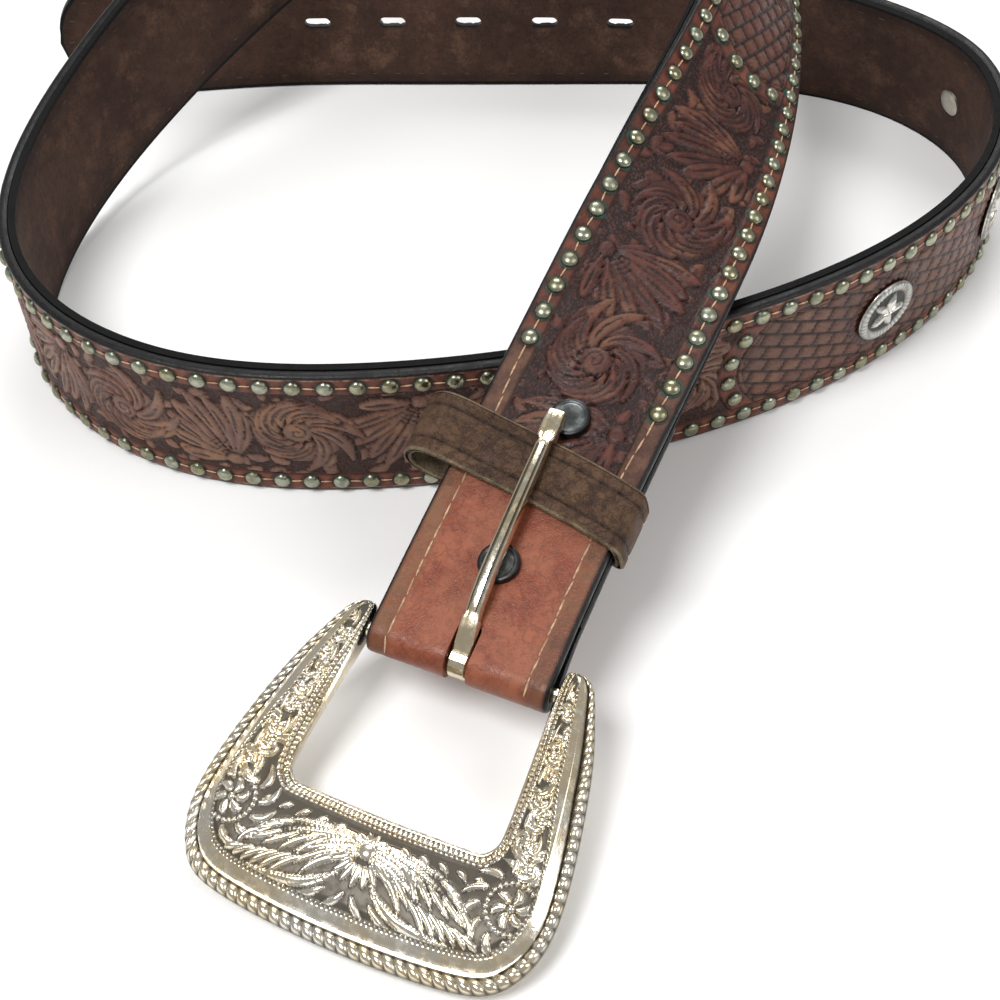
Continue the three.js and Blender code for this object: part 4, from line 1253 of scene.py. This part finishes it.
def stitches():
    """Thread between the studs, and the longer stitches of the plain leather at the fold."""
    draw = np.random.default_rng(3)
    made = []
    short = thread_stitch(3.1, 0.5)
    row = edge_row()
    for (d0, a0), (d1, a1) in zip(row[:-1], row[1:]):
        middle = ((d0 + d1) / 2, (a0 + a1) / 2)
        lean = math.atan2(-(a1 - a0), d1 - d0) + draw.uniform(-0.12, 0.12)
        made.append(copied(short, leather_seat(*middle, 0.02, lean)))
    long = thread_stitch(4.7, 0.55)
    end = ROUTE_LENGTH + 4.5
    for side, (first, _) in ((-1, row[0]), (1, row[-1])):
        place = first + STUD_PITCH * 0.55
        while place < end:
            inset = STUD_INSET + 1.2 * smoothstep(place, ROUTE_LENGTH - STUDS_STOP_LOWER,
                                                  ROUTE_LENGTH - 52)
            spot = leather_seat(place, side * (HALF - inset), 0.02,
                                side * 0.04 + draw.uniform(-0.05, 0.05))
            made.append(copied(long, spot))
            place += STITCH_PITCH
    for master in (short, long):
        bpy.data.objects.remove(master)
    piece = joined("waxed_stitching", made)
    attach(piece, "belt")
    return piece


def lining_stitches():
    draw = np.random.default_rng(5)
    master = thread_stitch(2.2, 0.4)
    made = []
    for distance, across in edge_row():
        if distance < ROUTE_LENGTH - LINING_STOP - 3:
            spot = leather_seat(distance, across, -PLY - 0.02, draw.uniform(-0.15, 0.15))
            made.append(copied(master, spot))
    bpy.data.objects.remove(master)
    piece = joined("lining_stitching", made)
    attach(piece, "belt")
    return piece


stud_piece = studs()
stitch_piece, lining_stitch_piece = stitches(), lining_stitches()

# ---- finishes


def colour(value):
    """A colour in linear light from an sRGB one."""
    return tuple(c / 12.92 if c <= 0.04045 else ((c + 0.055) / 1.055) ** 2.4 for c in value) + (1,)


def effect(name, inputs, outputs):
    """An empty shader group with named sockets: returns the tree with its input and output nodes."""
    tree = bpy.data.node_groups.new(name, "ShaderNodeTree")
    for label, kind, value in inputs:
        socket = tree.interface.new_socket(label, in_out="INPUT", socket_type="NodeSocket" + kind)
        if value is not None:
            socket.default_value = value
    for label, kind in outputs:
        tree.interface.new_socket(label, in_out="OUTPUT", socket_type="NodeSocket" + kind)
    return tree, tree.nodes.new("NodeGroupInput"), tree.nodes.new("NodeGroupOutput")


class Nodes:
    """Short ways to place nodes; a value is a number, an sRGB colour or another node's socket."""

    def __init__(self, tree):
        self.tree = tree

    def feed(self, socket, value):
        if isinstance(value, bpy.types.NodeSocket):
            self.tree.links.new(value, socket)
        else:
            socket.default_value = colour(value) if isinstance(value, tuple) else value

    def place(self, kind, inputs=(), **settings):
        node = self.tree.nodes.new("ShaderNode" + kind)
        for name, value in settings.items():
            setattr(node, name, value)
        for name, value in dict(inputs).items():
            self.feed(node.inputs[name], value)
        return node

    def noise(self, vector, scale, detail=4.0, rough=0.55):
        return self.place("TexNoise", {"Vector": vector, "Scale": scale, "Detail": detail,
                                       "Roughness": rough}).outputs["Fac"]

    def cells(self, vector, scale):
        node = self.place("TexVoronoi", feature="F1")
        self.feed(node.inputs["Vector"], vector)
        self.feed(node.inputs["Scale"], scale)
        return node.outputs["Distance"]

    def ramp(self, value, low, high, start=0.0, end=1.0):
        return self.place("MapRange",
                          {"Value": value, "From Min": low, "From Max": high, "To Min": start,
                                       "To Max": end}, interpolation_type="SMOOTHSTEP").outputs["Result"]

    def sum(self, kind, a, b):
        node = self.place("Math", operation=kind)
        self.feed(node.inputs[0], a)
        self.feed(node.inputs[1], b)
        return node.outputs[0]

    def times(self, a, b):
        return self.sum("MULTIPLY", a, b)

    def worn(self, place, scale, low, high):
        return self.use(WORN, Vector=place, Scale=scale, Low=low, High=high)["Mask"]

    def mix(self, factor, a, b):
        node = self.place("Mix", data_type="RGBA")
        self.feed(node.inputs["Factor"], factor)
        self.feed(node.inputs["A"], a)
        self.feed(node.inputs["B"], b)
        return node.outputs["Result"]

    def use(self, tree, **inputs):
        node = self.tree.nodes.new("ShaderNodeGroup")
        node.node_tree = tree
        for name, value in inputs.items():
            self.feed(node.inputs[name.replace("_", " ")], value)
        return node.outputs

    def tone(self, name):
        return self.place("Attribute", attribute_name=name).outputs["Fac"]


def make_hide_grain():
    """Pores and fine creases of leather."""
    tree, given, made = effect("hide_grain", (("Vector", "Vector", None), ("Scale", "Float", 1.0)),
                               (("Height", "Float"), ("Crease", "Float")))
    nodes = Nodes(tree)
    scale = given.outputs["Scale"]
    pores = nodes.ramp(nodes.cells(given.outputs["Vector"], nodes.times(scale, 1900.0)), 0.05, 0.55)
    swell = nodes.noise(given.outputs["Vector"], nodes.times(scale, 210.0), 6.0, 0.62)
    fold = nodes.sum("ABSOLUTE", nodes.sum("SUBTRACT", swell, 0.5), 0.0)
    crease = nodes.ramp(fold, 0.0, 0.045, 1.0, 0.0)
    cloud = nodes.noise(given.outputs["Vector"], nodes.times(scale, 800.0), 5.0, 0.6)
    tree.links.new(nodes.sum("ADD", nodes.times(pores, 0.45),
                             nodes.sum("SUBTRACT", cloud, nodes.times(crease, 0.35))),
                   made.inputs["Height"])
    tree.links.new(crease, made.inputs["Crease"])
    return tree


def make_worn():
    """Patches where a finish has worn away, from broad and fine noise."""
    tree, given, made = effect(
        "worn_patches", (("Vector", "Vector", None), ("Scale", "Float", 30.0),
                         ("Low", "Float", 0.45),
                         ("High", "Float", 0.65)), (("Mask", "Float"),))
    nodes = Nodes(tree)
    broad = nodes.noise(given.outputs["Vector"], given.outputs["Scale"], 3.0, 0.6)
    fine = nodes.noise(given.outputs["Vector"], nodes.times(given.outputs["Scale"], 9.0), 5.0, 0.65)
    both = nodes.sum("ADD", nodes.times(broad, 0.68), nodes.times(fine, 0.32))
    tree.links.new(nodes.ramp(both, given.outputs["Low"], given.outputs["High"]),
                   made.inputs["Mask"])
    return tree


def make_matting():
    """The speckled stamp of the carved ground."""
    tree, given, made = effect("matting_stamp",
                               (("Vector", "Vector", None), ("Scale", "Float", 1300.0)),
                               (("Height", "Float"), ("Dark", "Float")))
    nodes = Nodes(tree)
    dots = nodes.cells(given.outputs["Vector"], given.outputs["Scale"])
    tree.links.new(nodes.ramp(dots, 0.1, 0.6, 1.0, 0.0), made.inputs["Height"])
    tree.links.new(nodes.ramp(dots, 0.25, 0.6), made.inputs["Dark"])
    return tree


HIDE_GRAIN, WORN, MATTING = make_hide_grain(), make_worn(), make_matting()


def finish(name, metallic=0.0, specular=0.5):
    """A new material with its Principled shader, its nodes and its place in Object coordinates."""
    material = bpy.data.materials.new(name)
    material.use_nodes = True
    shader = material.node_tree.nodes["Principled BSDF"]
    shader.inputs["Metallic"].default_value = metallic
    shader.inputs["Specular IOR Level"].default_value = specular
    nodes = Nodes(material.node_tree)
    place = nodes.place("TexCoord").outputs["Object"]
    return material, shader, nodes, place


def bump(nodes, shader, height, strength, distance):
    node = nodes.place("Bump", {"Height": height, "Strength": strength, "Distance": distance})
    nodes.feed(shader.inputs["Normal"], node.outputs["Normal"])


def tooled_leather():
    """Mauve brown carving with tan worn tops that also hold a painted highlight, redder and darker near
    the buckle, partly as painted shade, black edges.
    """
    material, shader, nodes, place = finish("tooled_leather", specular=0.3)
    tone = {name: nodes.tone(name) for name in
            ("ground", "cut", "rub_and_sheen", "border", "plain", "woven", "painted", "gap", "run", "green")}
    broad = nodes.worn(place, 38.0, 0.42, 0.6)
    fine = nodes.worn(place, 160.0, 0.4, 0.66)
    tan_patch = nodes.worn(place, 50.0, 0.5, 0.6)
    scuff = nodes.worn(place, 300.0, 0.42, 0.6)
    grain = nodes.use(HIDE_GRAIN, Vector=place, Scale=1.0)
    mat = nodes.use(MATTING, Vector=place, Scale=1150.0)
    # From the front band to the stretch near the buckle the carving turns from lighter mauve to darker
    # mahogany. Part of this is the leather's own tone and wear, and part is painted light and shade: the
    # front band is given a painted frontal light and broad sheen, and the strap near the buckle, which
    # faces up, is given painted shade.
    near_buckle = nodes.ramp(tone["run"], ROUTE_LENGTH - 300, ROUTE_LENGTH - 230)
    afar = nodes.sum("SUBTRACT", 1.0, near_buckle)

    # The lighter colour, named worn, is wear and painted light together; the darker one is the leather's
    # own tone and painted shade.
    worn = nodes.mix(broad, (0.37, 0.255, 0.215), (0.33, 0.195, 0.15))
    deep_and_shaded = nodes.mix(broad, (0.215, 0.092, 0.07), (0.16, 0.066, 0.05))
    carved = nodes.mix(near_buckle, worn, deep_and_shaded)
    ground_light = nodes.mix(near_buckle, (0.27, 0.165, 0.13), (0.24, 0.115, 0.09))
    ground_dark = nodes.mix(near_buckle, (0.175, 0.10, 0.078), (0.10, 0.042, 0.033))
    shade = nodes.mix(tone["ground"], carved, nodes.mix(mat["Dark"], ground_light, ground_dark))
    weave = nodes.mix(broad, (0.29, 0.17, 0.135), (0.34, 0.18, 0.125))
    shade = nodes.mix(tone["woven"], shade, weave)
    # Raised tops turn lighter, with tan patches on them: wear, and a painted highlight on the crowns as
    # well.
    rubbed_and_sheen = nodes.mix(near_buckle, (0.51, 0.385, 0.325), (0.36, 0.19, 0.15))
    shade = nodes.mix(nodes.times(tone["rub_and_sheen"], nodes.ramp(fine, 0.0, 1.0, 0.25, 0.85)), shade,
                      rubbed_and_sheen)
    tan = nodes.times(tan_patch, nodes.ramp(tone["rub_and_sheen"], 0.2, 0.8, 0.0, 0.8))
    shade = nodes.mix(nodes.times(tan, nodes.ramp(near_buckle, 0.0, 1.0, 1.0, 0.4)), shade,
                      (0.52, 0.37, 0.255))

    border = nodes.mix(fine, (0.35, 0.165, 0.11), (0.45, 0.25, 0.175))
    border = nodes.mix(nodes.times(near_buckle, nodes.times(broad, 0.7)), border,
                       (0.2, 0.085, 0.06))
    near_fold = nodes.ramp(tone["run"], ROUTE_LENGTH - 84, ROUTE_LENGTH - 72)
    dull = nodes.mix(fine, (0.25, 0.165, 0.125), (0.40, 0.28, 0.21))
    border = nodes.mix(nodes.times(near_fold, 0.8), border, dull)
    shade = nodes.mix(tone["border"], shade, border)
    plain = nodes.mix(fine, (0.47, 0.235, 0.16), (0.56, 0.32, 0.225))
    plain = nodes.mix(nodes.times(grain["Crease"], 0.4), plain, (0.31, 0.135, 0.09))
    # Lighter broad patches on the plain leather: mottling, and a painted highlight streak as well.
    plain = nodes.mix(nodes.times(broad, 0.35), plain, (0.58, 0.37, 0.27))
    browned = nodes.mix(broad, (0.45, 0.31, 0.21), (0.32, 0.205, 0.145))
    side = nodes.times(nodes.ramp(tone["gap"], 3.6, 6.6, 1.0, 0.0),
                       nodes.ramp(fine, 0.0, 1.0, 0.55, 1.0))
    shade = nodes.mix(tone["plain"], shade, nodes.mix(side, plain, browned))

    dark_cut = nodes.mix(near_buckle, (0.10, 0.048, 0.038), (0.055, 0.022, 0.018))
    shade = nodes.mix(nodes.times(tone["cut"], 0.92), shade, dark_cut)
    crust = nodes.worn(place, 240.0, 0.44, 0.6)
    verdigris = nodes.times(crust, nodes.ramp(near_buckle, 0.0, 1.0, 0.3, 0.95))
    shade = nodes.mix(nodes.times(tone["green"], verdigris), shade, (0.10, 0.29, 0.25))
    shade = nodes.mix(tone["painted"], shade, nodes.mix(scuff, (0.022, 0.022, 0.025),
                                                        (0.05, 0.05, 0.052)))
    line = nodes.ramp(nodes.sum("ABSOLUTE", nodes.sum("SUBTRACT", tone["gap"], 1.1), 0.0), 0.1,
                      0.35, 1.0, 0.0)
    line = nodes.times(nodes.times(line, scuff), nodes.times(afar, 0.75))
    shade = nodes.mix(line, shade, (0.60, 0.52, 0.44))
    nodes.feed(shader.inputs["Base Color"], shade)

    rough = nodes.ramp(fine, 0.0, 1.0, 0.36, 0.56)
    rough = nodes.sum("ADD", rough, nodes.times(tone["ground"], 0.14))
    nodes.feed(shader.inputs["Roughness"],
               nodes.sum("SUBTRACT", rough, nodes.times(tone["plain"], 0.05)))
    height = nodes.sum("ADD", nodes.times(grain["Height"], 0.5),
                       nodes.times(mat["Height"], nodes.times(tone["ground"], 0.9)))
    bump(nodes, shader, height, 0.6, 0.0003)
    return material


def lining_leather():
    """Brown napped leather, mottled and scuffed, dark at its dressed edges."""
    material, shader, nodes, place = finish("lining_leather", specular=0.2)
    broad = nodes.worn(place, 26.0, 0.4, 0.62)
    scuff = nodes.worn(place, 110.0, 0.5, 0.68)
    grain = nodes.use(HIDE_GRAIN, Vector=place, Scale=1.2)
    shade = nodes.mix(broad, (0.215, 0.142, 0.112), (0.285, 0.198, 0.158))
    shade = nodes.mix(nodes.times(scuff, 0.55), shade, (0.41, 0.31, 0.25))
    rim = nodes.ramp(nodes.tone("gap"), 2.0, 6.0, 0.5, 0.0)
    shade = nodes.mix(rim, shade, (0.09, 0.055, 0.045))
    shade = nodes.mix(nodes.times(grain["Crease"], 0.3), shade, (0.08, 0.05, 0.04))
    painted = nodes.sum("MAXIMUM", nodes.tone("painted"),
                        nodes.ramp(nodes.tone("gap"), 0.8, 1.3, 1.0, 0.0))
    shade = nodes.mix(painted, shade, nodes.mix(scuff, (0.025, 0.024, 0.027), (0.05, 0.048, 0.05)))
    nodes.feed(shader.inputs["Base Color"], shade)
    nodes.feed(shader.inputs["Roughness"], nodes.ramp(scuff, 0.0, 1.0, 0.72, 0.9))
    bump(nodes, shader, grain["Height"], 0.6, 0.0004)
    return material


def keeper_leather():
    """Worn brown leather with dark stitched creases and raw pale edges."""
    material, shader, nodes, place = finish("keeper_leather", specular=0.25)
    broad = nodes.worn(place, 60.0, 0.4, 0.62)
    fine = nodes.worn(place, 260.0, 0.4, 0.66)
    grain = nodes.use(HIDE_GRAIN, Vector=place, Scale=1.0)
    shade = nodes.mix(broad, (0.215, 0.14, 0.10), (0.33, 0.235, 0.17))
    shade = nodes.mix(nodes.times(fine, 0.6), shade, (0.41, 0.315, 0.235))
    shade = nodes.mix(nodes.times(grain["Crease"], 0.4), shade, (0.13, 0.08, 0.055))
    shade = nodes.mix(nodes.tone("crease"), shade, (0.085, 0.052, 0.038))
    raw = nodes.mix(fine, (0.34, 0.285, 0.215), (0.52, 0.46, 0.37))
    shade = nodes.mix(nodes.tone("raw"), shade, raw)
    nodes.feed(shader.inputs["Base Color"], shade)
    nodes.feed(shader.inputs["Roughness"], nodes.ramp(fine, 0.0, 1.0, 0.55, 0.85))
    bump(nodes, shader, grain["Height"], 0.8, 0.0005)
    return material


def plate(name, bright, warm, dark, rough, recessed=True):
    """Plated metal: bright on what is raised, patched with warmer tone, brown in the ground."""
    material, shader, nodes, place = finish(name, metallic=1.0)
    patch = nodes.worn(place, 45.0, 0.42, 0.6)
    fine = nodes.worn(place, 420.0, 0.4, 0.66)
    shade = nodes.mix(patch, bright, warm)
    roughness = nodes.ramp(fine, 0.0, 1.0, rough, rough + 0.14)
    if recessed:
        recess = nodes.tone("recess")
        shade = nodes.mix(nodes.times(recess, 0.94), shade, dark)
        roughness = nodes.sum("ADD", roughness, nodes.times(recess, 0.25))
        nodes.feed(shader.inputs["Metallic"], nodes.ramp(recess, 0.3, 1.0, 1.0, 0.5))
    nodes.feed(shader.inputs["Base Color"], shade)
    nodes.feed(shader.inputs["Roughness"], roughness)
    bump(nodes, shader, nodes.noise(place, 1400.0, 3.0), 0.12, 0.0002)
    return material


def stud_metal():
    material, shader, nodes, place = finish("stud_metal", metallic=1.0)
    fine = nodes.worn(place, 380.0, 0.4, 0.66)
    patch = nodes.worn(place, 70.0, 0.42, 0.6)
    shade = nodes.mix(patch, (0.64, 0.65, 0.58), (0.57, 0.55, 0.44))
    shade = nodes.mix(nodes.times(fine, 0.5), shade, (0.36, 0.37, 0.31))
    # The lower part of each dome turns dark and less metallic: painted shade and a painted dark
    # reflection on its lower side, with teal verdigris in the crust patches.
    low = nodes.ramp(nodes.tone("low"), 0.5, 0.9)
    crust = nodes.worn(place, 120.0, 0.42, 0.58)
    shade_and_verdigris = nodes.mix(crust, (0.13, 0.115, 0.09), (0.09, 0.26, 0.22))
    shade = nodes.mix(low, shade, shade_and_verdigris)
    nodes.feed(shader.inputs["Base Color"], shade)
    nodes.feed(shader.inputs["Metallic"], nodes.ramp(low, 0.4, 1.0, 1.0, 0.25))
    nodes.feed(shader.inputs["Roughness"], nodes.ramp(fine, 0.0, 1.0, 0.24, 0.5))
    bump(nodes, shader, nodes.noise(place, 1600.0, 3.0), 0.15, 0.0002)
    return material


def black_enamel():
    material, shader, nodes, place = finish("black_metal", specular=0.6)
    fine = nodes.worn(place, 420.0, 0.4, 0.66)
    rim = nodes.mix(fine, (0.03, 0.033, 0.038), (0.07, 0.075, 0.085))
    face = nodes.mix(fine, (0.33, 0.345, 0.35), (0.46, 0.475, 0.47))
    nodes.feed(shader.inputs["Base Color"], nodes.mix(nodes.tone("face"), rim, face))
    nodes.feed(shader.inputs["Metallic"], nodes.ramp(nodes.tone("face"), 0.0, 1.0, 0.3, 0.85))
    nodes.feed(shader.inputs["Roughness"], nodes.ramp(fine, 0.0, 1.0, 0.28, 0.45))
    return material


def thread(name, light, dark):
    material, shader, nodes, place = finish(name, specular=0.3)
    fine = nodes.noise(place, 900.0, 3.0)
    nodes.feed(shader.inputs["Base Color"], nodes.mix(nodes.ramp(fine, 0.35, 0.65), light, dark))
    nodes.feed(shader.inputs["Roughness"], nodes.ramp(fine, 0.3, 0.7, 0.6, 0.85))
    bump(nodes, shader, fine, 0.4, 0.0003)
    return material


def pale_floor():
    material, shader, nodes, place = finish("pale_floor", specular=0.2)
    soft = nodes.noise(place, 3.0, 2.0)
    nodes.feed(shader.inputs["Base Color"],
               nodes.mix(soft, (0.955, 0.955, 0.95), (0.975, 0.975, 0.975)))
    shader.inputs["Roughness"].default_value = 0.9
    return material


def dress(material, *pieces):
    for piece in pieces:
        piece.data.materials.clear()
        piece.data.materials.append(material)


dress(tooled_leather(), *strap_pieces)
dress(lining_leather(), lining_piece)
dress(keeper_leather(), keeper_piece)
dress(plate("engraved_plate", (0.89, 0.87, 0.82), (0.89, 0.83, 0.71), (0.20, 0.17, 0.13), 0.15),
      buckle_piece)
dress(plate("prong_plate", (0.87, 0.85, 0.78), (0.84, 0.78, 0.66), (0.16, 0.13, 0.10), 0.12),
      prong_piece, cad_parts["buckle_bar"])
dress(plate("concho_silver", (0.84, 0.84, 0.82), (0.76, 0.74, 0.69), (0.05, 0.048, 0.045), 0.18),
      *concho_pieces)
dress(plate("post_silver", (0.74, 0.73, 0.70), (0.66, 0.63, 0.56), (0.2, 0.2, 0.2), 0.35,
            recessed=False),
      *post_pieces)
dress(stud_metal(), stud_piece)
dress(black_enamel(), *screw_pieces.values())
dress(thread("cream_thread", (0.76, 0.65, 0.53), (0.60, 0.47, 0.37)), stitch_piece)
dress(thread("lining_thread", (0.34, 0.27, 0.21), (0.22, 0.165, 0.13)), lining_stitch_piece)

for piece in strap_pieces:
    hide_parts("outer_strap")
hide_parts("lining_strap")
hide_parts("keeper_loop")
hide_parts("buckle_frame")
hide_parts("prong")
for name, piece in screw_pieces.items():
    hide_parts("fold_screw_" + name)
for i, (disc, post) in enumerate(zip(concho_pieces, post_pieces), 1):
    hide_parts(f"concho_{i}")
    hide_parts(f"concho_screw_{i}")

# ---- floor, light and camera

floor = added("floor", bpy.ops.mesh.primitive_plane_add, size=6, location=(0, 0, 0))
edit(floor)
bpy.ops.mesh.select_all(action="SELECT")
bpy.ops.mesh.subdivide(number_cuts=4)
done()
dress(pale_floor(), floor)


def soft_light(name, place, size, watts):
    light = bpy.data.lights.new(name, "AREA")
    light.shape, light.size, light.energy = "DISK", size, watts
    lamp = bpy.data.objects.new(name, light)
    lamp.location = place
    lamp.rotation_euler = (-Vector(place)).to_track_quat("-Z", "Y").to_euler()
    bpy.context.scene.collection.objects.link(lamp)


soft_light("key", (-0.5, -0.5, 1.3), 0.6, 15)
soft_light("fill", (0.9, -0.5, 0.9), 0.8, 5.5)
soft_light("back", (0.1, 0.9, 1.1), 0.8, 8)

world = bpy.data.worlds.new("studio")
world.use_nodes = True
world.node_tree.nodes["Background"].inputs["Color"].default_value = (0.95, 0.94, 0.93, 1)
world.node_tree.nodes["Background"].inputs["Strength"].default_value = 0.45
bpy.context.scene.world = world
bpy.context.scene.view_settings.view_transform = "Standard"

# The camera's place, lens and tilt were fitted to the photograph
CAMERA_PLACE = (-0.008406, -0.337121, 0.305873)
CAMERA_LENS = 57.6
pitch, roll = math.radians(46.98), math.radians(-2.87)
right, raised = Vector((1, 0, 0)), Vector((0, math.sin(pitch), math.cos(pitch)))
camera_x = right * math.cos(roll) + raised * math.sin(roll)
camera_y = raised * math.cos(roll) - right * math.sin(roll)
camera_z = camera_x.cross(camera_y)
camera = bpy.data.objects.new("camera", bpy.data.cameras.new("camera"))
camera.data.lens = CAMERA_LENS
camera.matrix_world = Matrix.Translation(CAMERA_PLACE) @ Matrix(
    (camera_x, camera_y, camera_z)).transposed().to_4x4()
bpy.context.scene.collection.objects.link(camera)
bpy.context.scene.camera = camera
